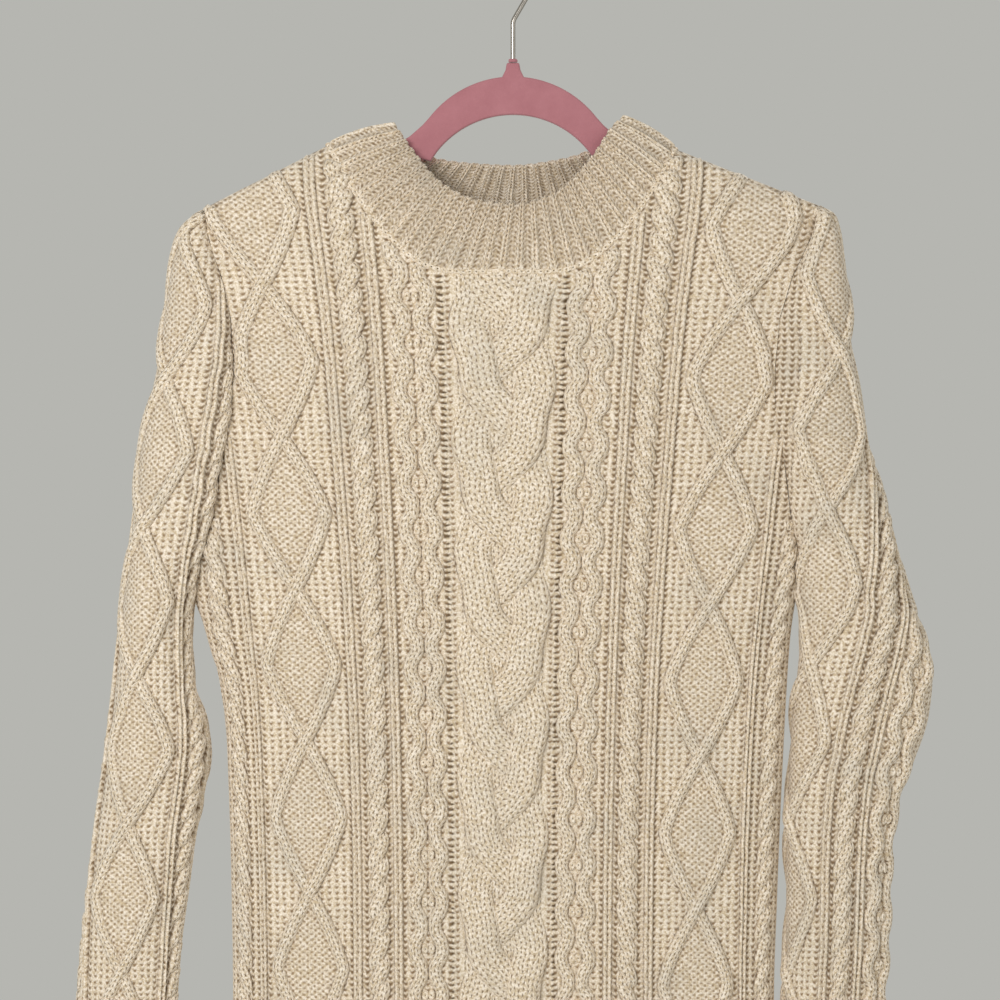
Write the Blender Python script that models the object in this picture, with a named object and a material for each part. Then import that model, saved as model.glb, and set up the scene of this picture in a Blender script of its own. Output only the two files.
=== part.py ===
"""Cable-knit sweater dress hanging on a slim flocked hanger. Metres, Z up.

The origin is the inside top of the hanger's hook, where it bears on a rail.
X runs to the viewer's right, the dress's front faces -Y, and the hem is lowest.
Sizes below are millimetres. "drop" is how far a point is below the high shoulder
point, and "rise" is how far along a piece it is above that piece's lower edge.
"""
import math
from collections import namedtuple

import bmesh
import bpy
import numpy as np

for thing in list(bpy.data.objects):
    bpy.data.objects.remove(thing, do_unlink=True)

MM = 0.001
LEFT, RIGHT = -1, 1
FRONT, BACK = -1, 1

# Garment
SHOULDER_Z = -124.6       # high shoulder point, below the hook's bearing point
CENTRE_X = -7.0           # the dress hangs a little off the hook's line
LENGTH = 870.0            # high shoulder point to hem
WALL = 3.0                # plain knit, without its cables
SEAM_GAP = 0.35
CORNER_GAP = 0.45         # where the front, the back and a third piece meet
HEM_RIB = 56.0
SLEEVE_RIB = 56.0
RIB_HEIGHT = 2.4
SECTION_POWER = 2.5       # the body's flat oval sections
SLEEVE_POWER = 2.2
GRID_STEP = 3.0
PLAIN_STEP = 52.75        # between the points of a plain line of stitches
RIM_STEPS = (2.5, 8.0, 18.0)
CLOSEST = 4.5             # points of one line are no closer than this
SNAP = 3.5
EDGE_RELIEF = 2.0         # of the outlines below, what the cables stand out
BODY_INNER_ROWS = (0, 56, 170, 310, 400, 440, 480, 525, 590, 640, 690, 720)
SLEEVE_INNER_ROWS = (0, 56, 120, 160, 200, 235, 265, 300, 325, 345, 363, 390, 430, 480, 530, 570)
PLAIT_LINES = (11.0, 23.0)
WIDE_RISE = 147.0         # a rise at which the diamonds are open
WIDE_SLEEVE_RISE = {-1: 150.5, 1: 149.3}

Shoulder = namedtuple("Shoulder", "neck_drop neck_width tip_drop tip_width")
SHOULDERS = {
    LEFT: Shoulder(16.0, 119.0, 61.6, 208.6),
    RIGHT: Shoulder(21.0, 122.0, 60.2, 221.9),
}

Side = namedtuple("Side", "drop width")
SIDES = {
    LEFT: (
        Side(61.6, 208.6), Side(98, 217), Side(142, 221), Side(212, 222), Side(282, 220),
        Side(330, 217), Side(352, 210), Side(374, 203.7), Side(391, 198), Side(417, 194.6),
        Side(441, 193), Side(541, 190), Side(616, 189), Side(740, 195), Side(815, 196),
        Side(870, 190),
    ),
    RIGHT: (
        Side(60.2, 221.9), Side(98, 224), Side(142, 224), Side(212, 222), Side(282, 216),
        Side(330, 205.8), Side(364, 200.9), Side(406, 198.1), Side(476, 194.6),
        Side(546, 191.8), Side(616, 189.7), Side(740, 195), Side(815, 196), Side(870, 190),
    ),
}

# Half depths of the body, and how far the stitch columns spread from their even width
Depth = namedtuple("Depth", "drop front back spread")
DEPTHS = (
    Depth(15, 13, 12, 1.27), Depth(56, 19, 17, 1.24), Depth(112, 24, 20, 1.17),
    Depth(160, 26, 21, 1.12), Depth(212, 26.5, 22, 1.08), Depth(332, 27, 22, 1.0),
    Depth(437, 25.5, 21, 0.955), Depth(537, 24.5, 20, 0.935), Depth(616, 24, 20, 0.93),
    Depth(730, 25, 20, 0.95), Depth(815, 25.5, 21, 0.955), Depth(870, 25, 21, 0.93),
)

Neck = namedtuple("Neck", "across front back")
NECKLINE = (
    Neck(0, 107.5, 62), Neck(20, 108, 61.5), Neck(40, 107, 60), Neck(58, 101, 56),
    Neck(80, 82.5, 48), Neck(100, 57, 37), Neck(112, 36, 28), Neck(125, 14, 17),
)

# Armhole: how far its edge lies in from the side, at the panel points that it passes
Node = namedtuple("Node", "drop inset")
UNDERARM = 330.0
ARMHOLE = (
    Node(UNDERARM, 0), Node(304, 13), Node(277, 24), Node(242, 34), Node(206, 40),
    Node(172, 41), Node(140, 38), Node(110, 28), Node(84, 14),
)
UPPER_NODE = 5            # from this node up the armhole edge is the side line itself
SIDE_LINE = 174.0
SIDE_EDGE = 219.0

Edge = namedtuple("Edge", "drop across")
SLEEVE_OUTER = {
    LEFT: (
        Edge(61.6, 208.6), Edge(72.8, 217.7), Edge(88.9, 228.2), Edge(115.5, 234.5),
        Edge(154, 240.1), Edge(196, 248.5), Edge(266, 259), Edge(364, 269.5),
        Edge(439.6, 277.9), Edge(500.5, 286.3), Edge(588.7, 294.7), Edge(640, 297.5),
        Edge(693, 298.9),
    ),
    RIGHT: (
        Edge(60.2, 221.9), Edge(69.5, 230.4), Edge(91.7, 237), Edge(115, 241.5),
        Edge(146.3, 244.5), Edge(180, 249.2), Edge(224, 254.5), Edge(268, 267),
        Edge(328, 283), Edge(369, 297.2), Edge(391, 302.5), Edge(416, 300),
        Edge(453, 288), Edge(484, 276.5), Edge(515, 272.3), Edge(572.6, 271),
        Edge(616, 268.1), Edge(693, 266),
    ),
}
SLEEVE_INNER = {
    LEFT: (
        Edge(330, 217), Edge(345, 219.5), Edge(370, 218.5), Edge(399, 215.6),
        Edge(420, 208.5), Edge(439, 205.5), Edge(476.7, 210.7), Edge(500.5, 215.6),
        Edge(537.6, 220.5), Edge(572.6, 225.4), Edge(616, 228.9), Edge(693, 234.5),
    ),
    RIGHT: (
        Edge(330, 205.8), Edge(343, 208.6), Edge(366, 206.3), Edge(402, 202.8),
        Edge(462, 199.5), Edge(511, 197.6), Edge(574, 197.4), Edge(616, 196.2),
        Edge(693, 197),
    ),
}

# "turn" is where a sleeve's middle diamond lies at each drop: 0 degrees is the
# sleeve's outer edge, 90 the front and 180 its inner edge.
SLEEVE_END = 693.0
Turn = namedtuple("Turn", "drop turn depth spread")
SLEEVE_TURNS = {
    LEFT: (
        Turn(61, 25, 1, 1.0), Turn(68, 28, 8, 1.0), Turn(85, 32, 15, 1.0),
        Turn(120, 40, 21, 1.02), Turn(182, 49, 25, 1.02), Turn(286, 51, 27.5, 1.0),
        Turn(340, 60, 29, 0.95), Turn(390, 70, 28.5, 0.92), Turn(493, 73, 24.5, 0.93),
        Turn(594, 84, 23, 0.86), Turn(650, 87, 22.5, 0.8), Turn(693, 88, 21.5, 0.76),
    ),
    RIGHT: (
        Turn(60, 30, 1, 1.0), Turn(67, 32, 8, 1.0), Turn(85, 37, 15, 1.0),
        Turn(120, 44, 21, 1.02), Turn(164, 52, 25, 1.02), Turn(215, 72, 26.5, 1.0),
        Turn(270, 98, 27.5, 1.0), Turn(325, 124, 27, 1.0), Turn(384, 146, 26.5, 0.98),
        Turn(440, 162, 25.5, 0.96), Turn(491, 174, 24.5, 0.92), Turn(598, 177, 23.5, 0.86),
        Turn(650, 178, 22.5, 0.84), Turn(693, 178, 21.5, 0.8),
    ),
}
SLEEVE_MIDDLE = 40.0      # the stitches beside the diamond keep their width this far out
SLEEVE_ACROSS = 101.0     # and at least this many more fit the half girth

# Soft folds that bunch beside the armholes
Fold = namedtuple("Fold", "across drop slope length width height")
FOLDS = {
    LEFT: (
        Fold(198, 148, 30, 17, 8, 4.0), Fold(202, 172, 10, 20, 8.5, 5.0),
        Fold(203, 200, -10, 22, 9, 5.5), Fold(205, 231, -25, 24, 9, 5.5),
        Fold(208, 262, -40, 24, 9, 4.5), Fold(212, 292, -55, 22, 8, 3.5),
    ),
    RIGHT: (
        Fold(203, 150, 35, 20, 9, 5.0), Fold(207, 178, 15, 24, 10, 6.0),
        Fold(206, 212, 0, 24, 11, 6.5), Fold(206, 246, -20, 24, 10, 5.5),
        Fold(209, 280, -40, 22, 9, 4.0),
    ),
}

# Stitch columns. "place" is across the piece, "start" is the rise of one crossing,
# "reach" is how far its strands swing, and "lean" is 1 for / and -1 for \
Column = namedtuple("Column", "kind place start pitch reach lean")
BODY_COLUMNS = (
    Column("rope", -199, 300, 18.0, 3.0, -1),
    Column("ridge", -180, 0, 0, 0, 0),
    Column("diamond", -143.5, LENGTH - 116.4, 105.5, 24.5, -1),
    Column("ridge", -108, 0, 0, 0, 0),
    Column("rope", -92, LENGTH - 295.0, 17.2, 3.6, 1),
    Column("ridge", -77.5, 0, 0, 0, 0),
    Column("chain", -54, LENGTH - 286.3, 32.3, 2.4, 0),
    Column("plait", 0, LENGTH - 146.0, 78.4, 21.0, 0),
    Column("chain", 54, LENGTH - 292.9, 32.3, 2.4, 0),
    Column("ridge", 77.5, 0, 0, 0, 0),
    Column("rope", 92, LENGTH - 290.0, 17.2, 3.6, -1),
    Column("ridge", 108, 0, 0, 0, 0),
    Column("diamond", 143.5, LENGTH - 127.9, 105.5, 24.5, -1),
    Column("ridge", 180, 0, 0, 0, 0),
    Column("rope", 199, 300, 18.0, 3.0, 1),
)
SLEEVE_COLUMNS = {
    side: (
        Column("diamond", 0, start, pitch, 24.0, -1),
        *(Column("ridge", k * 34, 0, 0, 0, 0) for k in (-1, 1)),
        *(Column("rope", k * 47.5, start + 20, 17.7, 3.4, -side) for k in (-1, 1)),
        *(Column("ridge", k * 61, 0, 0, 0, 0) for k in (-1, 1)),
        *(Column("chain", k * 80.5, start + 8, 34.0, 2.4, 0) for k in (-1, 1)),
    )
    for side, start, pitch in ((LEFT, 99.0, 103.0), (RIGHT, 95.0, 108.6))
}
BODY_VALLEYS = (35.5, 72.0, 82.0, 103.0, 113.0, 184.5, 211.0)
SLEEVE_VALLEYS = (38.5, 56.5, 65.0, 97.0)

RIDGE = (3.9, 2.4)        # half width and height of each kind of strand
ROPE = (6.4, 4.2)
CHAIN = (5.0, 3.6)
CHAIN_PLACE = 7.2         # half the distance between a chain's two strands
BORDER = (5.2, 3.8)
MOSS_HEIGHT = 1.2
PLAIT = (12.6, 4.2)
PLAIT_LIFT = 1.7          # how much a plait's upper strand rides over the lower

# Collar
Rim = namedtuple("Rim", "share across drop")
COLLAR_FRONT = (
    Rim(0, -77, 3.5), Rim(0.10, -65, 21), Rim(0.27, -42, 47), Rim(0.39, -17, 58.5),
    Rim(0.52, 10, 61), Rim(0.65, 36.4, 53), Rim(0.83, 63, 27), Rim(0.945, 77, 6),
    Rim(1, 84.7, -1.4),
)
COLLAR_BACK = (
    Rim(0, -77, 3.5), Rim(0.14, -61, 22), Rim(0.32, -30, 29), Rim(0.52, 7, 31),
    Rim(0.70, 40, 27), Rim(0.83, 63, 19.6), Rim(1, 84.7, -1.4),
)
COLLAR_DEPTH = {FRONT: 17.0, BACK: 15.0}
COLLAR_BULGE = 2.5
COLLAR_RIB = 2.2
COLLAR_RIBS = {FRONT: 28, BACK: 24}
COLLAR_ROWS = (0.13, 0.55, 1.0)

# Hanger
PLATE = 5.4
PLATE_BEVEL = 1.5
ARCH_OUTER = (-94.2, 74.0)     # top of the arch's outer curve, and its radius
ARCH_INNER = (-121.1, 67.5)
ARCH_TURN = 52.0
ARM_START = 120.0
ARM_Z = -153.6
ARM_SLOPE = 0.388
ARM_END = 209.5
ARM_DEEP = 14.0
BOSS_TOP = -84.6
BOSS_HALF = 4.7
BOSS_FOOT = 7.6
WIRE = 3.4
WIRE_SIDES = 10
FERRULE = 6.4
LOOP_RADIUS = 19.0
BEND_RADIUS = 9.0
LOOP_END = 196.0

WOOL = (0.60, 0.50, 0.37)
FLOCK = (0.66, 0.19, 0.25)
STEEL = (0.62, 0.60, 0.57)


def material(name, colour, roughness, metallic=0.0):
    made = bpy.data.materials.new(name)
    made.use_nodes = True
    shader = made.node_tree.nodes["Principled BSDF"]
    shader.inputs["Base Color"].default_value = (*colour, 1.0)
    shader.inputs["Roughness"].default_value = roughness
    shader.inputs["Metallic"].default_value = metallic
    return made


def smooth(table, column, x):
    """Read one column of a table at x, on a curve with no overshoot through its rows."""
    xs = np.array([row[0] for row in table], float)
    ys = np.array([getattr(row, column) for row in table], float)
    step, rise = np.diff(xs), np.diff(ys)
    secant = rise / step
    slope = np.zeros(len(xs))
    same = secant[:-1] * secant[1:] > 0
    both = 2 * secant[:-1] * secant[1:]
    slope[1:-1][same] = both[same] / (secant[:-1] + secant[1:])[same]
    slope[0], slope[-1] = secant[0], secant[-1]
    at = np.clip(x, xs[0], xs[-1])
    i = np.clip(np.searchsorted(xs, at) - 1, 0, len(step) - 1)
    t = (at - xs[i]) / step[i]
    return (
        ys[i] * (1 + 2 * t) * (1 - t) ** 2
        + slope[i] * step[i] * t * (1 - t) ** 2
        + ys[i + 1] * t * t * (3 - 2 * t)
        + slope[i + 1] * step[i] * t * t * (t - 1)
    )


def unit(vectors):
    return vectors / np.maximum(np.linalg.norm(vectors, axis=-1, keepdims=True), 1e-12)


class Grid:
    """A curved surface kept as rows and columns of points, with its outward normals."""

    def __init__(self, points, towards, place):
        """The normals point towards the given way at the given row and column."""
        self.points = points
        normals = unit(np.cross(np.gradient(points, axis=1), np.gradient(points, axis=0)))
        self.normals = normals if normals[place] @ np.array(towards, float) > 0 else -normals

    def at(self, row, column, height=0.0):
        rows, columns = self.points.shape[:2]
        row = np.clip(row, 0, rows - 1)
        column = np.clip(column, 0, columns - 1)
        i = np.minimum(row.astype(int), rows - 2)
        j = np.minimum(column.astype(int), columns - 2)
        a, b = (row - i)[..., None], (column - j)[..., None]

        def mix(field):
            low = field[i, j] * (1 - b) + field[i, j + 1] * b
            high = field[i + 1, j] * (1 - b) + field[i + 1, j + 1] * b
            return low * (1 - a) + high * a

        return mix(self.points) + np.asarray(height)[..., None] * unit(mix(self.normals))


def half_width(side, drop):
    neck = SHOULDERS[side]
    slope = (neck.tip_width - neck.neck_width) / (neck.tip_drop - neck.neck_drop)
    line = neck.neck_width + (drop - neck.neck_drop) * slope
    return np.where(drop < neck.tip_drop, line, smooth(SIDES[side], "width", drop))


class Body:
    """The front or the back, read by stitch columns across and rise above the hem."""

    def __init__(self, face):
        self.face = face
        self.drops = np.arange(DEPTHS[0].drop, LENGTH + 0.1, GRID_STEP)
        depth = smooth(DEPTHS, "front" if face == FRONT else "back", self.drops)
        self.spread = smooth(DEPTHS, "spread", self.drops)
        self.length = {}
        halves = {}
        angle = np.linspace(0, math.pi / 2, 121)
        share = np.linspace(0, 1, 81)
        for side in (LEFT, RIGHT):
            rows, lengths = [], []
            for width, deep in zip(half_width(side, self.drops), depth):
                x = width * np.sin(angle) ** (2 / SECTION_POWER)
                y = deep * np.cos(angle) ** (2 / SECTION_POWER)
                arc = np.concatenate([[0], np.cumsum(np.hypot(np.diff(x), np.diff(y)))])
                lengths.append(arc[-1])
                rows.append(np.stack(
                    [np.interp(share * arc[-1], arc, x), np.interp(share * arc[-1], arc, y)], axis=1
                ))
            self.length[side] = np.array(lengths)
            halves[side] = np.array(rows)
        across = np.concatenate([-halves[LEFT][:, :0:-1, 0], halves[RIGHT][:, :, 0]], axis=1)
        out = np.concatenate([halves[LEFT][:, :0:-1, 1], halves[RIGHT][:, :, 1]], axis=1)
        z = np.repeat((SHOULDER_Z - self.drops)[:, None], across.shape[1], axis=1)
        points = np.stack([CENTRE_X + across, face * (out + SEAM_GAP / 2), z], axis=2)
        self.grid = Grid(points, (0, face, 0), (len(self.drops) // 2, len(share)))
        for column in (0, -1):
            self.grid.normals[:, column, 1] = 0
        self.grid.normals = unit(self.grid.normals)

    def edge(self, side, rise):
        """Nominal place of the panel's side edge, with room for all the columns."""
        drop = LENGTH - rise
        even = np.interp(drop, self.drops, self.length[side]) / np.interp(drop, self.drops, self.spread)
        return even + np.maximum(SIDE_EDGE - even, 0) * np.clip((drop - 206) / 36, 0, 1)

    def armhole(self, side, rise):
        """Nominal place of the armhole's edge."""
        drop = LENGTH - rise
        nodes = (*ARMHOLE, Node(SHOULDERS[side].tip_drop, 0))
        inset = np.interp(drop, [n.drop for n in nodes[::-1]], [n.inset for n in nodes[::-1]])
        return self.edge(side, rise) - inset / np.interp(drop, self.drops, self.spread)

    def side_line(self, side, rise):
        """The line of stitches that becomes the upper armhole's edge."""
        upper = LENGTH - ARMHOLE[UPPER_NODE].drop
        rise = np.minimum(rise, LENGTH - SHOULDERS[side].tip_drop)
        near = np.clip((rise - (upper - 34)) / 34, 0, 1)
        inner = np.where(rise > upper, self.armhole(side, rise), self.armhole(side, upper))
        return SIDE_LINE + (inner - SIDE_LINE) * near

    def limit(self, rise):
        """How far out from the middle the diamonds may reach."""
        return np.minimum(self.side_line(LEFT, rise), self.side_line(RIGHT, rise)) - 0.5

    def at(self, across, rise, height=0.0):
        across, rise = np.asarray(across, float), np.asarray(rise, float)
        drop = LENGTH - rise
        spread = np.interp(drop, self.drops, self.spread)
        shares = {}
        for side in (LEFT, RIGHT):
            length, edge = np.interp(drop, self.drops, self.length[side]), self.edge(side, rise)
            near = np.minimum(np.abs(across), SIDE_LINE)
            room = np.where(edge > SIDE_LINE, length - SIDE_LINE * spread, 0)
            tight = room / np.maximum(edge - SIDE_LINE, 1)
            shares[side] = (near * spread + (np.abs(across) - near) * tight) / length
        column = (np.where(across < 0, -shares[LEFT], shares[RIGHT]) + 1) / 2
        column = column * (self.grid.points.shape[1] - 1)
        return self.grid.at((drop - self.drops[0]) / GRID_STEP, column, height)

    def neckline(self, across, rise):
        """The drop of the neckline above a stitch column."""
        x = self.at(across, rise)[..., 0] - CENTRE_X
        return smooth(NECKLINE, "front" if self.face == FRONT else "back", np.abs(x))


def strand(offset, half, height):
    return height * np.sqrt(np.clip(1 - (offset / half) ** 2, 0, None))


def diamond_path(column, rise, sign, limit):
    """Where one border of a diamond column runs."""
    share = np.abs(np.mod((rise - column.start) / column.pitch * 2 + 1, 2) - 1)
    swing = 0.75 * share + 0.25 * np.sin(math.pi / 2 * share)
    place = column.place + sign * column.reach * swing
    return np.clip(place, -limit + BORDER[0], limit - BORDER[0])


def rope_path(column, rise, turn):
    """Place across and height of the strand that is on top, some turns away from here."""
    along = (rise - column.start) / column.pitch
    along = along - np.floor(along) + turn
    lift = np.sin(math.pi * np.clip((along + 0.15) / 1.3, 0, 1)) ** 0.6
    return column.place + column.lean * column.reach * (2 * along - 1), lift


def chain_swing(column, rise):
    return CHAIN_PLACE + column.reach * np.cos(2 * math.pi * (rise - column.start) / column.pitch)


def plait_strands(column, rise):
    """Place and lift of each of the plait's three strands."""
    for k in range(3):
        angle = 2 * math.pi * (k / 3 - (rise - column.start) / (3 * column.pitch)) + math.radians(150)
        yield column.reach * np.sin(angle), -PLAIT_LIFT * np.sin(2 * angle)


def relief(columns, across, rise, limit):
    """Height of the cables, ridges and moss above the plain knit."""
    top = np.zeros(np.broadcast(across, rise).shape)
    for column in columns:
        offset = across - column.place
        if column.kind == "ridge":
            top = np.maximum(top, strand(offset, *RIDGE))
        if column.kind == "rope":
            for turn in (-1, 0, 1):
                place, lift = rope_path(column, rise, turn)
                top = np.maximum(top, lift * strand(across - place, *ROPE))
        if column.kind == "chain":
            swing = chain_swing(column, rise)
            top = np.maximum(top, strand(np.abs(offset) - swing, *CHAIN))
        if column.kind == "diamond":
            left, right = (diamond_path(column, rise, sign, limit) for sign in (-1, 1))
            inside = (across > left) & (across < right)
            top = np.maximum(top, np.where(inside, MOSS_HEIGHT, 0))
            for path in (left, right):
                top = np.maximum(top, strand(across - path, *BORDER))
        if column.kind == "plait":
            for place, lift in plait_strands(column, rise):
                round_top = np.clip(1 - np.abs((offset - place) / PLAIT[0]) ** 2.6, 0, None)
                top = np.maximum(top, round_top ** (1 / 2.6) * (PLAIT[1] + lift))
    return top


def beats(column, shares, low, high):
    """Rises at which a column repeats, at the given shares of its pitch."""
    first = math.floor((low - column.start) / column.pitch) - 1
    last = math.ceil((high - column.start) / column.pitch) + 1
    rises = [column.start + (k + s) * column.pitch for k in range(first, last) for s in shares]
    return np.array(sorted(r for r in rises if low < r < high))


Line = namedtuple("Line", "across rise height")
Rise = namedtuple("Rise", "path rows")


def straight(place, rows):
    return Rise(lambda r: place + 0 * r, rows)


def border_line(column, rows, limit, sign, aside):
    """A line beside, on or inside one border of a diamond column."""
    def path(rise):
        border = diamond_path(column, rise, sign, limit(rise))
        apart = np.maximum(np.abs(border - column.place), 2.2)
        moved = np.clip(apart + aside, 0.9, None)
        return np.clip(column.place + sign * moved, -limit(rise) + 1.5, limit(rise) - 1.5)

    return Rise(path, rows)


def column_lines(column, limit, low, high, step):
    """The lines of points that follow one column of stitches."""
    if column.kind == "ridge":
        return [straight(column.place, np.arange(low, high, step))]
    if column.kind == "rope":
        rows = beats(column, (0.12, 0.62), low, high)
        return [Rise(lambda r: rope_path(column, r, 0)[0], rows)]
    if column.kind == "chain":
        rows = beats(column, (0, 0.5), low, high)
        return [
            Rise(lambda r, k=k: column.place + k * chain_swing(column, r), rows) for k in (-1, 0, 1)
        ]
    rows = beats(column, (0, 0.25, 0.5, 0.75), low, high)
    left = [border_line(column, rows, limit, -1, aside) for aside in (5.4, 0.0, -5.4)]
    right = [border_line(column, rows, limit, 1, aside) for aside in (-5.4, 0.0, 5.4)]
    return [*left, straight(column.place, rows), *right]


def body_lines(body, side, low, high):
    """One half of a panel's lines of points, from beside the middle to the side."""
    plain = np.arange(low, high, PLAIN_STEP)
    plait = next(c for c in BODY_COLUMNS if c.kind == "plait")
    lines = [straight(side * place, beats(plait, np.arange(8) / 8, low, high)) for place in PLAIT_LINES]
    close = np.arange(low, high, PLAIN_STEP / 2)
    lines += [straight(side * p, plain if p < SIDE_LINE else close) for p in BODY_VALLEYS]
    for column in BODY_COLUMNS:
        if column.place * side > 0:
            lines += column_lines(column, body.limit, low, high, PLAIN_STEP)
    lines.append(Rise(lambda r: side * body.side_line(side, r), plain))
    lines.append(Rise(lambda r: side * body.edge(side, r), plain))
    return sorted(lines, key=lambda line: abs(float(line.path(np.float64(WIDE_RISE)))))


def spaced(rises, top, rim):
    """The rises below a line's top, with close ones near a rounded edge."""
    near = [top - step for step in rim]
    kept = [r for r in rises if r < top - CLOSEST and all(abs(r - n) > CLOSEST for n in near)]
    return np.array(sorted(kept + near))


def crossing(inside, low, high):
    """The highest rise from low that is still inside."""
    above = next((r for r in np.arange(low, high, 0.5) if not inside(r)), None)
    if above is None:
        return high
    below = above - 0.5
    for _ in range(30):
        middle = (above + below) / 2
        below, above = (middle, above) if inside(middle) else (below, middle)
    return below


class Mesh:
    """Points and triangles of one closed piece."""

    def __init__(self):
        self.points, self.faces = [], []

    def add(self, points):
        start = len(self.points)
        self.points += [tuple(p) for p in np.atleast_2d(points)]
        return list(range(start, len(self.points)))

    def face(self, *corners):
        if len(set(corners)) == 3:
            self.faces.append(corners)

    def zip(self, a, a_keys, b, b_keys):
        """Triangles between two lines of points, taking the next point by its key."""
        i = j = 0
        while i < len(a) - 1 or j < len(b) - 1:
            if j == len(b) - 1 or (i < len(a) - 1 and a_keys[i + 1] <= b_keys[j + 1]):
                self.face(a[i], a[i + 1], b[j])
                i += 1
            else:
                self.face(a[i], b[j + 1], b[j])
                j += 1

    def strip(self, a, b):
        """Two triangles between each pair of facing points of two equal lines."""
        for i in range(len(a) - 1):
            self.face(a[i], a[i + 1], b[i])
            self.face(a[i + 1], b[i + 1], b[i])

    def patch(self, a, a_rise, b, b_rise, low=(), high=()):
        """Fill between two lines. low and high are the edge points between them, from a to b."""
        a, b, a_keys, b_keys = list(a), list(b), list(a_rise), list(b_rise)
        if a_keys[-1] <= b_keys[-1]:
            a += high
            a_keys += list(np.linspace(a_keys[-1], b_keys[-1], len(high) + 2)[1:-1])
        else:
            b += high[::-1]
            b_keys += list(np.linspace(b_keys[-1], a_keys[-1], len(high) + 2)[1:-1])
        if low:
            a_keys[1] = -3.0
            b, b_keys = low + b, [-2.0] * len(low) + [-1.0] + b_keys[1:]
        self.zip(a, a_keys, b, b_keys)

    def object(self, name, finish):
        mesh = bpy.data.meshes.new(name)
        mesh.from_pydata([tuple(c * MM for c in p) for p in self.points], [], self.faces)
        shape = bmesh.new()
        shape.from_mesh(mesh)
        bmesh.ops.recalc_face_normals(shape, faces=shape.faces)
        if shape.calc_volume(signed=True) < 0:
            bmesh.ops.reverse_faces(shape, faces=shape.faces)
        shape.to_mesh(mesh)
        shape.free()
        mesh.materials.append(finish)
        mesh.shade_smooth()
        mesh.set_sharp_from_angle(angle=math.radians(50))
        made = bpy.data.objects.new(name, mesh)
        bpy.context.collection.objects.link(made)
        return made


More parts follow.
